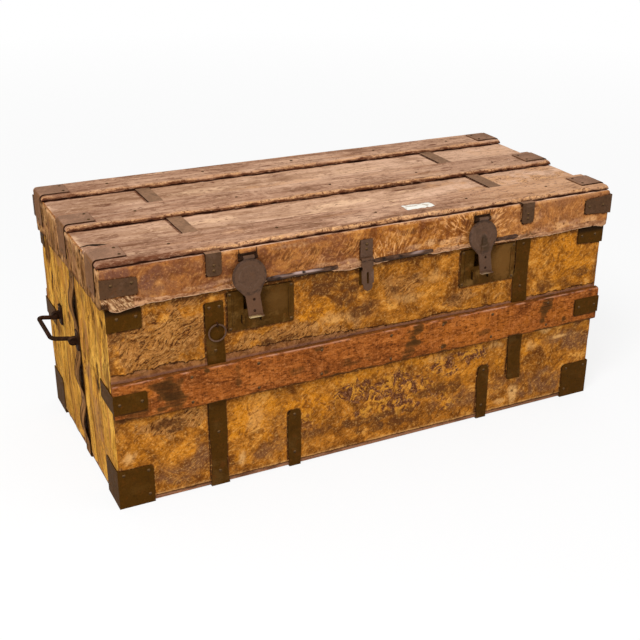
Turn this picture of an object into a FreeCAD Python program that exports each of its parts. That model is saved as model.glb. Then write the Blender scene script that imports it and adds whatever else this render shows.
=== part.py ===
import FreeCAD, Part
import math
import os

# Flat-topped travelling trunk: a boarded case and lid, covered in hide and bound with
# wooden slats and flat irons. It closes with a slotted hasp between two lock hasps.
# Origin: centre of everything's outline from above, on the surface that the trunk stands on.
# X runs along the length to the right, Y runs to the back, Z is up.

os.makedirs("parts", exist_ok=True)

# Driving dimensions, in millimetres

# Case and lid
lid_length = 900.0
lid_depth = 400.0
front_overhang = 2.65
rim_height = 341.0
lid_height = 53.0
setback = 6.0
board = 12.0
bottom_thickness = 12.0
hide = 2.0
hem_height = 2.5
lip_drop = 5.0
hide_round = 4.0
iron = 1.5

# Clearances
notch_fit = 0.2
pin_fit = 0.08
swing_gap = 0.3
slide_fit = 0.3
staple_gap = 0.4

# Wooden slats
lid_slat_thickness = 8.0
front_slat_width = 74.0
middle_slat_width = 70.0
rear_slat_width = 62.0
front_slat_setback = 8.0
rear_slat_setback = 2.0
middle_slat_share = 0.02
body_slat_thickness = 10.0
body_slat_width = 62.0
body_slat_share = 0.54
slat_round = 3.0
slat_end_round = 6.0

# Slat end clamps
lid_clamp_width = 44.0
lid_clamp_reach = 48.0
lid_clamp_leg = 46.0
body_clamp_width = 30.0
body_clamp_reach = 50.0
body_clamp_leg = 68.0

# Binding irons, placed as shares of the length
strap_width = 28.0
lid_strap_width = 24.0
short_strap_width = 22.0
left_strap_share = -0.313
right_strap_share = 0.305
left_short_share = -0.169
right_short_share = 0.2356
long_strap_top = 25.0
right_strap_top = 11.0
right_strap_break = 66.0
right_strap_break_length = 16.0
right_strap_bend_degrees = 14.0
rear_strap_under = 140.0
short_strap_height = 104.0
lid_strap_drop = 34.0
strap_end_round = 6.0
side_strap_share = -0.025
side_strap_top = 16.0
side_strap_fold = 44.0

# Corner irons
lid_corner_width = 54.0
lid_corner_height = 35.0
lid_corner_drop = 6.0
body_corner_width = 52.0
body_corner_height = 28.0
body_corner_drop = 11.0
corner_leg = 24.0
lid_corner_leg = 12.0
cap_width = 55.0
cap_height = 66.0
cap_side = 62.0
cap_round = 6.0
plate_round = 3.0

# Half-round edging on the lid's lower front edge, as shares of the length
edging_radius = 4.0
edging_one_shares = (-0.2230, -0.0890)
edging_two_share = 0.1010
edging_three_shares = (0.2380, 0.2860)

# Locks
lock_plate_width = 108.0
lock_plate_height = 64.0
lock_plate_drop = 9.0
left_lock_gap = 7.0
right_lock_gap = 2.0
bead_inset = 8.0
bead_width = 2.0
bead_height = 1.0
slot_width = 16.0
slot_height = 24.0
slot_rise = 12.5
slot_offset = -20.5
lug_width = 4.0
lug_height = 14.0
lug_reach = 6.0
lug_spacing = 31.0
case_wall = 1.0
case_depth = 11.0
case_height = 34.0
bolt_length = 20.0
bolt_height = 8.0
bolt_thickness = 2.4
bolt_inset = 1.0

# Lock hasps
hasp_offset = -22.5
hasp_pivot_drop = 12.0
hasp_tilt_degrees = 5.0
hasp_thickness = 2.0
disc_radius = 27.0
disc_drop = 29.0
neck_width = 41.0
neck_start = 17.0
neck_end = 31.0
tongue_width = 23.0
tongue_tail = 18.5
tongue_lean = 7.0
tongue_lip = 4.0
knuckle_radius = 3.0
knuckle_length = 17.4
pin_radius = 1.5
bracket_width = 29.0
bracket_height = 11.0
bracket_knuckle_length = 5.0
horn_radius = 1.1
horn_tip_radius = 0.4
horn_height = 13.0
horn_splay = 1.5
staple_radius = 1.5
staple_height = 18.0
staple_bend = 3.0
rivet_radius = 2.2
rivet_rise = 1.0
rib_radius = 4.5
rib_rise = 1.2

# Slotted centre hasp
centre_hasp_share = -0.034
centre_pivot_drop = 48.0
centre_leaf_width = 21.0
centre_leaf_top = 16.0
centre_knuckle_radius = 2.5
centre_knuckle_length = 8.4
centre_pin_radius = 1.2
centre_thickness = 1.8
centre_length = 51.0
centre_neck_width = 17.0
centre_neck_start = 12.0
centre_neck_end = 17.0
centre_lobe_width = 16.0
centre_lobe_start = 40.0
centre_slot_width = 4.0
centre_slot_length = 19.0
centre_slot_drop = 30.0
keeper_width = 17.0
keeper_height = 32.0
keeper_radius = 1.3
keeper_loop_height = 14.0
keeper_bend = 3.0

# Ring on the left strap
ring_radius = 13.4
ring_rod = 1.3
ring_drop = 61.0
ring_offset = 3.0
ring_staple_rod = 1.0
ring_stand = 0.6
ring_play = 0.7

# End handles
handle_share = 0.1075
handle_level_share = 0.613
handle_tilt_degrees = 10.0
handle_rod = 3.5
handle_arm = 31.0
handle_span = 90.0
handle_bend = 9.0
handle_pin_turn = 5.0
handle_pin_length = 17.0
eye_width = 8.0
eye_wall = 3.0
eye_inset = 10.0
eye_plate_width = 18.0
eye_plate_height = 34.0
eye_plate = 2.0

# Rear hinges
hinge_width = 54.0
hinge_leaf_height = 34.0
hinge_leaf = 2.0
hinge_radius = 4.0
hinge_pin_radius = 2.0
hinge_shares = (-0.23, 0.0, 0.23)
hinge_knuckle_share = 0.32
hinge_body_drop = 40.0

# Nails
nail_radius = 2.6
nail_rise = 1.1
nail_inset = 8.0
strap_nail_pitch = 84.0
slat_nail_inset = 10.0
slat_nail_shares = (-0.36, -0.24, -0.12, 0.02, 0.13, 0.24, 0.37)
lid_nail_shares = (-0.37, -0.18, 0.01, 0.2, 0.38)

# Paper remnant on the lid
label_length = 62.0
label_width = 26.0
label_thickness = 0.3
label_share = 0.1
label_inset = 22.0
label_round = 9.0

# One overrun for every cut, and the shortest edge that an outline keeps
overrun = 5.0
least_edge = 0.001

# Places worked out from the sizes above

half_length = lid_length / 2
body_half = half_length - setback
front_y = front_overhang - lid_depth / 2
back_y = front_overhang + lid_depth / 2
body_front = front_y + setback
lid_top = rim_height + lid_height
lip_z = rim_height - lip_drop
bottom_top = iron + bottom_thickness
hem_z = bottom_top + hem_height
wall = hide + board
left_strap_x = left_strap_share * lid_length
right_strap_x = right_strap_share * lid_length
centre_x = centre_hasp_share * lid_length
handle_y = front_overhang + handle_share * lid_depth
handle_z = handle_level_share * rim_height
side_strap_y = front_overhang + side_strap_share * lid_depth
body_slat_z = body_slat_share * rim_height
lock_plate_top = lip_z - lock_plate_drop
lock_plate_z = lock_plate_top - lock_plate_height / 2
slot_z = lock_plate_z + slot_rise
left_lock_x = left_strap_x + strap_width / 2 + left_lock_gap + lock_plate_width / 2
right_lock_x = right_strap_x - strap_width / 2 - right_lock_gap - lock_plate_width / 2
hasp_tilt = math.radians(hasp_tilt_degrees)
hasp_pivot_z = lid_top - hasp_pivot_drop
hasp_pivot_y = front_y - iron - knuckle_radius - swing_gap
centre_pivot_z = lid_top - centre_pivot_drop
centre_pivot_y = front_y - iron - centre_knuckle_radius - swing_gap
hinge_y = back_y + hinge_radius + swing_gap
iron_front = body_front - iron

lid_nails = []
body_nails = []


def vec(x, y, z):
    return FreeCAD.Vector(x, y, z)


X_AXIS = vec(1, 0, 0)
Y_AXIS = vec(0, 1, 0)
Z_AXIS = vec(0, 0, 1)


def save(name, *solids):
    """Write one named piece, or a group of like pieces, as a STEP file."""
    shape = solids[0] if len(solids) == 1 else Part.makeCompound(list(solids))
    shape.exportStep("parts/" + name + ".step")


def box(low_x, high_x, low_y, high_y, low_z, high_z):
    size = (high_x - low_x, high_y - low_y, high_z - low_z)
    return Part.makeBox(size[0], size[1], size[2], vec(low_x, low_y, low_z))


def fuse(first, *others):
    return first.multiFuse(list(others)).removeSplitter() if others else first


def cylinder_x(low, high, y, z, radius):
    return Part.makeCylinder(radius, high - low, vec(low, y, z), X_AXIS)


def cylinder_y(low, high, x, z, radius):
    return Part.makeCylinder(radius, high - low, vec(x, low, z), Y_AXIS)


def rounded_edges(corners, radii):
    """Straight edges joined by tangent arcs, round a closed outline."""
    starts, ends, middles = [], [], []
    count = len(corners)
    for index, corner in enumerate(corners):
        before = (corners[index - 1] - corner).normalize()
        after = (corners[(index + 1) % count] - corner).normalize()
        half = before.getAngle(after) / 2
        reach = radii[index] / math.tan(half)
        inward = (before + after).normalize()
        starts.append(corner + before * reach)
        ends.append(corner + after * reach)
        middles.append(corner + inward * (radii[index] / math.sin(half) - radii[index]))
    edges = []
    for index in range(count):
        if radii[index] > 0:
            edges.append(Part.Arc(starts[index], middles[index], ends[index]).toShape())
        following = starts[(index + 1) % count]
        if (following - ends[index]).Length > least_edge:
            edges.append(Part.LineSegment(ends[index], following).toShape())
    return edges


def slab(corners, radii, thickness):
    """A flat plate with the given outline, thickened along a vector."""
    face = Part.Face(Part.Wire(rounded_edges(corners, radii)))
    return face.extrude(thickness)


def rod(points, radius, bends):
    """A round bar along straight runs, with an arc of its own radius at each corner."""
    edges = []
    start = points[0]
    for before, corner, after, bend in zip(points, points[1:], points[2:], bends):
        back = (before - corner).normalize()
        ahead = (after - corner).normalize()
        half = back.getAngle(ahead) / 2
        reach = bend / math.tan(half)
        inward = (back + ahead).normalize()
        arc_start = corner + back * reach
        arc_end = corner + ahead * reach
        middle = corner + inward * (bend / math.sin(half) - bend)
        edges.append(Part.LineSegment(start, arc_start).toShape())
        edges.append(Part.Arc(arc_start, middle, arc_end).toShape())
        start = arc_end
    edges.append(Part.LineSegment(start, points[-1]).toShape())
    path = Part.Wire(edges)
    direction = (points[1] - points[0]).normalize()
    section = Part.Wire(Part.Circle(points[0], direction, radius).toShape())
    return path.makePipeShell([section], True, False)


def turned(shape, pivot, axis, degrees):
    shape.rotate(pivot, axis, degrees)
    return shape


def dome(radius, rise, place, outward):
    """A round nail head, flat underneath, standing on a face."""
    ball = (radius ** 2 + rise ** 2) / (2 * rise)
    whole = Part.makeSphere(ball, vec(0, 0, rise - ball))
    reach = radius + overrun
    head = whole.common(box(-reach, reach, -reach, reach, 0, reach))
    head.Placement = FreeCAD.Placement(place, FreeCAD.Rotation(Z_AXIS, outward))
    return head


def nail(group, place, outward):
    group.append(dome(nail_radius, nail_rise, place, outward))


# Flat faces that carry the irons: a point on each, its two directions and its outward normal
BODY_FRONT = (vec(0, body_front, 0), X_AXIS, Z_AXIS, Y_AXIS * -1)
BODY_BACK = (vec(0, back_y, 0), X_AXIS, Z_AXIS, Y_AXIS)
BODY_LEFT = (vec(-body_half, 0, 0), Y_AXIS, Z_AXIS, X_AXIS * -1)
BODY_RIGHT = (vec(body_half, 0, 0), Y_AXIS, Z_AXIS, X_AXIS)
BODY_UNDER = (vec(0, 0, iron), X_AXIS, Y_AXIS, Z_AXIS * -1)
LID_FRONT = (vec(0, front_y, 0), X_AXIS, Z_AXIS, Y_AXIS * -1)
LID_BACK = (vec(0, back_y, 0), X_AXIS, Z_AXIS, Y_AXIS)
LID_LEFT = (vec(-half_length, 0, 0), Y_AXIS, Z_AXIS, X_AXIS * -1)
LID_RIGHT = (vec(half_length, 0, 0), Y_AXIS, Z_AXIS, X_AXIS)
LID_TOP = (vec(0, 0, lid_top), X_AXIS, Y_AXIS, Z_AXIS)


def on_face(face, along, up, out):
    origin, first, second, normal = face
    return origin + first * along + second * up + normal * out


def plate(face, along, up, radii=(0, 0, 0, 0), thickness=iron, out=0):
    """A flat iron on a face, from a low to a high value each way."""
    corners = [on_face(face, along[0], up[0], out), on_face(face, along[1], up[0], out),
               on_face(face, along[1], up[1], out), on_face(face, along[0], up[1], out)]
    return slab(corners, radii, face[3] * thickness)


def nails_on(group, face, places, out=iron):
    """Nail heads standing on an iron or slat of the given thickness."""
    for along, up in places:
        nail(group, on_face(face, along, up, out), face[3])


def span(middle, width):
    return (middle - width / 2, middle + width / 2)


def outer_edges(shape, with_top):
    """The upright edges of a box and, if asked, the edges round its top."""
    chosen = []
    for edge in shape.Edges:
        low, high = edge.BoundBox.ZMin, edge.BoundBox.ZMax
        upright = high - low > shape.BoundBox.ZLength / 2
        if upright or (with_top and low > shape.BoundBox.ZMax - hide_round):
            chosen.append(edge)
    return chosen


# Case

def lock_case_box(lock_x, grown):
    """The block that one lock case fills in the front board."""
    slot_x = lock_x + slot_offset
    low = slot_x - slot_width / 2 - case_wall
    high = slot_x + slot_width / 2 + bolt_inset + bolt_length + slide_fit + case_wall
    return box(low, high, body_front - grown, body_front + case_depth,
               slot_z - case_height / 2, slot_z + case_height / 2)


def case_boards():
    outer_x = body_half - hide
    inner_x = body_half - wall
    low_y, high_y = body_front + hide, back_y - hide
    front = box(-outer_x, outer_x, low_y, body_front + wall, bottom_top, rim_height)
    for lock_x in (left_lock_x, right_lock_x):
        front = front.cut(lock_case_box(lock_x, overrun))
    save("front_board", front)
    save("back_board", box(-outer_x, outer_x, back_y - wall, high_y, bottom_top, rim_height))
    for name, low_x, high_x in (("left_board", -outer_x, -inner_x), ("right_board", inner_x, outer_x)):
        save(name, box(low_x, high_x, body_front + wall, back_y - wall, bottom_top, rim_height))
    save("bottom_board", box(-outer_x, outer_x, low_y, high_y, iron, bottom_top))


def case_hide():
    outer = box(-body_half, body_half, body_front, back_y, hem_z, rim_height)
    outer = outer.makeFillet(hide_round, outer_edges(outer, False))
    inner_x = body_half - hide
    inner = box(-inner_x, inner_x, body_front + hide, back_y - hide, hem_z - overrun, rim_height + overrun)
    shell = outer.cut(inner)
    for lock_x in (left_lock_x, right_lock_x):
        shell = shell.cut(lock_case_box(lock_x, overrun))
    save("case_hide", shell)


def strap_notch(face, middle, width, up):
    """The shallow notch that a slat needs where it lies over an iron."""
    along = span(middle, width + 2 * notch_fit)
    return plate(face, along, up, thickness=iron + notch_fit + overrun, out=-overrun)


def body_slats():
    up = span(body_slat_z, body_slat_width)
    clamp_up = span(body_slat_z, body_clamp_width)
    cut_up = (up[0] - overrun, up[1] + overrun)
    clamps = []
    for name, face, plane, outward in (("front_slat", BODY_FRONT, body_front, -1),
                                       ("rear_slat", BODY_BACK, back_y, 1)):
        slat = plate(face, (-body_half, body_half), up, thickness=body_slat_thickness)
        rounded = [edge for edge in slat.Edges if edge.BoundBox.XLength > body_half
                   and abs(edge.BoundBox.Center.y - plane) > slat_round]
        slat = slat.makeFillet(slat_round, rounded)
        for strap_x in (left_strap_x, right_strap_x):
            slat = slat.cut(strap_notch(face, strap_x, strap_width, cut_up))
        save(name, slat)
        places = []
        for share in slat_nail_shares:
            for height in (up[0] + slat_nail_inset, up[1] - slat_nail_inset):
                places.append((share * lid_length, height))
        nails_on(body_nails, face, places, body_slat_thickness)
        for side, side_face in ((-1, BODY_LEFT), (1, BODY_RIGHT)):
            reach = sorted((side * (body_half + iron), side * (body_half - body_clamp_reach)))
            top = plate(face, reach, clamp_up, inner_corners(-side, plate_round, True), iron,
                        body_slat_thickness)
            outer = plane + outward * (body_slat_thickness + iron)
            leg = plate(side_face, sorted((outer, outer - outward * body_clamp_leg)), clamp_up)
            clamps.append(fuse(top, leg))
            inner_x = side * (body_half - body_clamp_reach + nail_inset)
            outer_x = side * (body_half - nail_inset)
            nails_on(body_nails, face, [(inner_x, body_slat_z), (outer_x, body_slat_z)],
                     body_slat_thickness + iron)
            leg_end = outer - outward * (body_clamp_leg - nail_inset)
            nails_on(body_nails, side_face, [(leg_end, body_slat_z)])
    save("case_slat_clamps", *clamps)


def strap_nails(face, strap_x, low, high, out=iron):
    """Nails down a strap, left out where the slat covers it."""
    slat_low, slat_high = span(body_slat_z, body_slat_width + 2 * nail_inset)
    count = max(2, round((high - low) / strap_nail_pitch) + 1)
    for step in range(count):
        height = low + (high - low) * step / (count - 1)
        if not slat_low < height < slat_high:
            nails_on(body_nails, face, [(strap_x, height)], out)


def round_irons(strap_x, width, top, rounding):
    """A strap that runs up the front, under the bottom and up the back, in one piece."""
    along = span(strap_x, width)
    radii = (0, 0, rounding, rounding)
    front = plate(BODY_FRONT, along, (0, top), radii)
    back = plate(BODY_BACK, along, (0, top), radii)
    under = plate(BODY_UNDER, along, (body_front - iron, back_y + iron))
    return fuse(front, back, under)


def case_straps():
    left_top = rim_height - long_strap_top
    save("left_strap", round_irons(left_strap_x, strap_width, left_top, plate_round))
    ring_clear = rim_height - ring_drop - 2 * ring_radius - nail_inset * 2
    strap_nails(BODY_FRONT, left_strap_x, short_strap_height / 4, ring_clear)
    nails_on(body_nails, BODY_FRONT, [(left_strap_x - nail_inset, left_top - nail_inset),
                                      (left_strap_x + nail_inset, left_top - nail_inset)])
    strap_nails(BODY_BACK, left_strap_x, short_strap_height / 4, left_top - nail_inset)

    right_top = rim_height - right_strap_top
    along = span(right_strap_x, strap_width)
    bend_z = right_strap_break + right_strap_break_length
    straight = plate(BODY_FRONT, along, (bend_z, right_top), (0, 0, plate_round, plate_round))
    end = plate(BODY_FRONT, along, (right_strap_break, bend_z), (strap_end_round, plate_round, 0, 0))
    end = turned(end, vec(0, body_front, bend_z), X_AXIS, -right_strap_bend_degrees)
    save("right_strap_front", fuse(straight, end))
    strap_nails(BODY_FRONT, right_strap_x, bend_z + nail_inset, right_top - nail_inset)
    back = plate(BODY_BACK, along, (0, right_top), (0, 0, plate_round, plate_round))
    under = plate(BODY_UNDER, along, (back_y - rear_strap_under, back_y + iron))
    save("right_strap_rear", fuse(back, under))
    strap_nails(BODY_BACK, right_strap_x, short_strap_height / 4, right_top - nail_inset)

    shorts = []
    for share in (left_short_share, right_short_share):
        short_x = share * lid_length
        shorts.append(round_irons(short_x, short_strap_width, short_strap_height, strap_end_round))
        for face in (BODY_FRONT, BODY_BACK):
            strap_nails(face, short_x, short_strap_height / 4, short_strap_height - nail_inset)
    save("short_straps", *shorts)

    top = rim_height - side_strap_top
    for name, side, face in (("left_side_strap", -1, BODY_LEFT), ("right_side_strap", 1, BODY_RIGHT)):
        leg = plate(face, span(side_strap_y, strap_width), (0, top), (0, 0, plate_round, plate_round))
        fold = sorted((side * (body_half + iron), side * (body_half - side_strap_fold)))
        under = plate(BODY_UNDER, fold, span(side_strap_y, strap_width))
        save(name, fuse(leg, under))
        for height in (nail_inset * 2, handle_z / 2, top - nail_inset):
            nails_on(body_nails, face, [(side_strap_y, height)])


def inner_corners(inward, radius, with_foot):
    """Radii for a leg's two corners on its inner side, or for the upper one alone."""
    foot = radius if with_foot else 0
    return (0, foot, radius, 0) if inward > 0 else (foot, 0, 0, radius)


def corner_irons():
    """Three-legged caps at the bottom corners and angle plates below the rim and on the lid."""
    caps, case_plates, lid_plates = [], [], []
    case_up = (rim_height - body_corner_drop - body_corner_height, rim_height - body_corner_drop)
    lid_up = (lid_top - lid_corner_drop - lid_corner_height, lid_top - lid_corner_drop)
    for side in (-1, 1):
        body_side = BODY_LEFT if side < 0 else BODY_RIGHT
        lid_side = LID_LEFT if side < 0 else LID_RIGHT
        for is_front in (True, False):
            body_end = BODY_FRONT if is_front else BODY_BACK
            lid_end = LID_FRONT if is_front else LID_BACK
            body_outer = body_front - iron if is_front else back_y + iron
            lid_outer = front_y - iron if is_front else back_y + iron
            inward = 1 if is_front else -1
            wraps = not (is_front and side < 0)

            across = sorted((side * (body_half + iron), side * (body_half - cap_width)))
            depth = sorted((body_outer, body_outer + inward * cap_side))
            face_leg = plate(body_end, across, (0, cap_height), inner_corners(-side, cap_round, False))
            side_leg = plate(body_side, depth, (0, cap_height), inner_corners(inward, cap_round, False))
            foot = plate(BODY_UNDER, across, depth)
            caps.append(fuse(face_leg, side_leg, foot))
            inner_x = side * (body_half - cap_width + nail_inset)
            outer_x = side * (body_half - nail_inset)
            high = cap_height - nail_inset
            nails_on(body_nails, body_end, [(inner_x, high), (inner_x, nail_inset * 2), (outer_x, high)])
            leg_y = body_outer + inward * (cap_side - nail_inset)
            nails_on(body_nails, body_side, [(leg_y, high), (leg_y, nail_inset * 2)])

            edge = iron if wraps else 0
            across = sorted((side * (body_half + edge), side * (body_half - body_corner_width)))
            angle = plate(body_end, across, case_up, inner_corners(-side, plate_round, True))
            if wraps:
                depth = sorted((body_outer, body_outer + inward * corner_leg))
                angle = fuse(angle, plate(body_side, depth, case_up))
            case_plates.append(angle)
            middle = sum(case_up) / 2
            inner_x = side * (body_half - body_corner_width + nail_inset)
            outer_x = side * (body_half - nail_inset * 2)
            nails_on(body_nails, body_end, [(inner_x, middle), (outer_x, middle)])

            across = sorted((side * (half_length + edge), side * (half_length - lid_corner_width)))
            angle = plate(lid_end, across, lid_up, inner_corners(-side, plate_round, True))
            if wraps:
                depth = sorted((lid_outer, lid_outer + inward * lid_corner_leg))
                angle = fuse(angle, plate(lid_side, depth, lid_up))
            lid_plates.append(angle)
            middle = sum(lid_up) / 2
            inner_x = side * (half_length - lid_corner_width + nail_inset)
            outer_x = side * (half_length - nail_inset * 2)
            nails_on(lid_nails, lid_end, [(inner_x, middle), (outer_x, middle)])
    save("bottom_corner_caps", *caps)
    save("case_corner_plates", *case_plates)
    save("lid_corner_plates", *lid_plates)


# Lid

def lid_boards():
    outer_x = half_length - hide
    inner_x = half_length - wall
    low_y, high_y = front_y + hide, back_y - hide
    top = lid_top - wall
    save("lid_front_board", box(-outer_x, outer_x, low_y, front_y + wall, rim_height, top))
    save("lid_back_board", box(-outer_x, outer_x, back_y - wall, high_y, rim_height, top))
    ends = (("lid_left_board", -outer_x, -inner_x), ("lid_right_board", inner_x, outer_x))
    for name, low_x, high_x in ends:
        save(name, box(low_x, high_x, front_y + wall, back_y - wall, rim_height, top))
    save("lid_top_board", box(-outer_x, outer_x, low_y, high_y, top, lid_top - hide))


def lid_hide():
    """The lid's cover, with a lip that hangs past the rim at the front and ends."""
    outer = box(-half_length, half_length, front_y, back_y, lip_z, lid_top)
    outer = outer.makeFillet(hide_round, outer_edges(outer, True))
    inner_x = half_length - hide
    inner = box(-inner_x, inner_x, front_y + hide, back_y - hide, lip_z - overrun, lid_top - hide)
    rear_lip = box(-half_length - overrun, half_length + overrun, back_y - wall, back_y + overrun,
                   lip_z - overrun, rim_height)
    save("lid_hide", outer.cut(inner).cut(rear_lip))


def end_profile(low_y, width, low_z, half, end_round):
    """A slat across the lid with its top rounded down at both ends."""
    high_z = low_z + lid_slat_thickness
    outline = [(-half, low_z), (half, low_z), (half, high_z), (-half, high_z)]
    corners = [vec(x, low_y, z) for x, z in outline]
    return slab(corners, (0, 0, end_round, end_round), vec(0, width, 0))


def bent_clamp(side, low_y):
    """An iron that lies on a slat's end and bends down the lid's end."""
    inner, outer = half_length, half_length + iron
    reach = half_length - lid_clamp_reach
    under = lid_top + lid_slat_thickness
    foot = lid_top - lid_clamp_leg
    outline = [(outer, foot), (inner, foot), (inner, under), (reach, under),
               (reach, under + iron), (outer, under + iron)]
    corners = [vec(side * x, low_y, z) for x, z in outline]
    radii = (0, 0, slat_end_round, 0, 0, slat_end_round + iron)
    return slab(corners, radii, vec(0, lid_clamp_width, 0))


def lid_slats():
    """Three slats over two cross straps, each slat clamped at both ends."""
    middle_y = front_overhang + middle_slat_share * lid_depth
    rows = (("lid_slat_front", front_y + front_slat_setback, front_slat_width),
            ("lid_slat_middle", middle_y - middle_slat_width / 2, middle_slat_width),
            ("lid_slat_rear", back_y - rear_slat_setback - rear_slat_width, rear_slat_width))
    clamps = []
    for name, low_y, width in rows:
        up = (low_y, low_y + width)
        slat = end_profile(low_y, width, lid_top, half_length, slat_end_round)
        top_edges = [edge for edge in slat.Edges if edge.BoundBox.XLength > half_length
                     and edge.BoundBox.ZMin > lid_top + slat_round]
        slat = slat.makeFillet(slat_round, top_edges)
        for strap_x in (left_strap_x, right_strap_x):
            cut_up = (up[0] - overrun, up[1] + overrun)
            slat = slat.cut(strap_notch(LID_TOP, strap_x, lid_strap_width, cut_up))
        save(name, slat)
        centre_y = low_y + width / 2
        clamp_up = span(centre_y, lid_clamp_width)
        for share in lid_nail_shares:
            nails_on(lid_nails, LID_TOP, [(share * lid_length, centre_y)], lid_slat_thickness)
        for side, end_face in ((-1, LID_LEFT), (1, LID_RIGHT)):
            clamps.append(bent_clamp(side, clamp_up[0]))
            inner_x = side * (half_length - lid_clamp_reach + nail_inset)
            places = [(inner_x, clamp_up[0] + nail_inset), (inner_x, clamp_up[1] - nail_inset)]
            nails_on(lid_nails, LID_TOP, places, lid_slat_thickness + iron)
            nails_on(lid_nails, end_face, [(centre_y, lid_top - lid_clamp_leg + nail_inset)])
    save("lid_slat_clamps", *clamps)

    label_low = rows[0][1] + label_inset
    label = plate(LID_TOP, span(label_share * lid_length, label_length), (label_low, label_low + label_width),
                  (label_round, 0, label_round, label_round / 2), label_thickness, lid_slat_thickness)
    save("paper_label", label)


def lid_straps():
    """Cross straps that lie under the slats and turn down the front and back."""
    up = (lid_top - lid_strap_drop, lid_top + iron)
    radii = (strap_end_round, strap_end_round, 0, 0)
    for name, strap_x in (("lid_strap_left", left_strap_x), ("lid_strap_right", right_strap_x)):
        along = span(strap_x, lid_strap_width)
        top = plate(LID_TOP, along, (front_y - iron, back_y + iron))
        save(name, fuse(top, plate(LID_FRONT, along, up, radii), plate(LID_BACK, along, up, radii)))
        for face in (LID_FRONT, LID_BACK):
            nails_on(lid_nails, face, [(strap_x, up[0] + nail_inset), (strap_x, up[0] + 2 * nail_inset)])


def lid_edging(left_hasp_x, right_hasp_x):
    """Half-round irons along the lid's lower front edge, broken into three lengths."""
    clear = disc_radius + pin_radius
    runs = ((left_hasp_x + clear, edging_one_shares[1] * lid_length),
            (centre_x + centre_leaf_width / 2 + pin_radius, edging_two_share * lid_length),
            (right_hasp_x + clear, edging_three_shares[1] * lid_length))
    strips = []
    for low, high in runs:
        bar = cylinder_x(low, high, front_y, lip_z + edging_radius, edging_radius)
        back = box(low - overrun, high + overrun, front_y, front_y + 2 * edging_radius,
                   lip_z - overrun, lip_z + 2 * edging_radius + overrun)
        strips.append(bar.cut(back))
    save("lid_edging", *strips)


# Locks

def lock(side_name, lock_x):
    """A lock plate with its slot and lugs, the case behind it and the sliding bolt."""
    slot_x = lock_x + slot_offset
    up = span(lock_plate_z, lock_plate_height)
    cover = plate(BODY_FRONT, span(lock_x, lock_plate_width), up, (plate_round,) * 4)
    for side in (-1, 1):
        bead_x = lock_x + side * (lock_plate_width / 2 - bead_inset)
        bead = plate(BODY_FRONT, span(bead_x, bead_width), (up[0] + bead_inset, up[1] - bead_inset),
                     thickness=bead_height, out=iron)
        cover = cover.fuse(bead)
    tongue_x = lock_x + hasp_offset + tongue_lean
    end_z = slot_z - tongue_tail
    for side in (-1, 1):
        lug_x = tongue_x + side * lug_spacing / 2
        lug = plate(BODY_FRONT, span(lug_x, lug_width), span(end_z - lug_height / 2, lug_height),
                    thickness=lug_reach, out=iron)
        cover = cover.fuse(lug)
    slot = plate(BODY_FRONT, span(slot_x, slot_width), span(slot_z, slot_height),
                 thickness=iron + 2 * overrun, out=-overrun)
    save("lock_plate_" + side_name, cover.removeSplitter().cut(slot))
    places = []
    for side in (-1, 1):
        for height in (up[0] + nail_inset / 2, up[1] - nail_inset / 2):
            places.append((lock_x + side * (lock_plate_width / 2 - nail_inset / 2), height))
    nails_on(body_nails, BODY_FRONT, places)

    block = lock_case_box(lock_x, 0)
    inside = block.BoundBox
    hollow = box(inside.XMin + case_wall, inside.XMax - case_wall, body_front - overrun,
                 inside.YMax - case_wall, inside.ZMin + case_wall, inside.ZMax - case_wall)
    shell = block.cut(hollow)
    rail_low = slot_x + slot_width / 2 + bolt_inset
    for side in (-1, 1):
        near = slot_z + side * (bolt_height / 2 + slide_fit)
        low, high = sorted((near, near + side * bolt_thickness))
        rail = box(rail_low, inside.XMax - case_wall, body_front, inside.YMax - case_wall, low, high)
        shell = shell.fuse(rail)
    save("lock_case_" + side_name, shell.removeSplitter())
    low_y = body_front + slide_fit
    save("lock_bolt_" + side_name, box(rail_low, rail_low + bolt_length, low_y, low_y + bolt_thickness,
                                       slot_z - bolt_height / 2, slot_z + bolt_height / 2))


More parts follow.
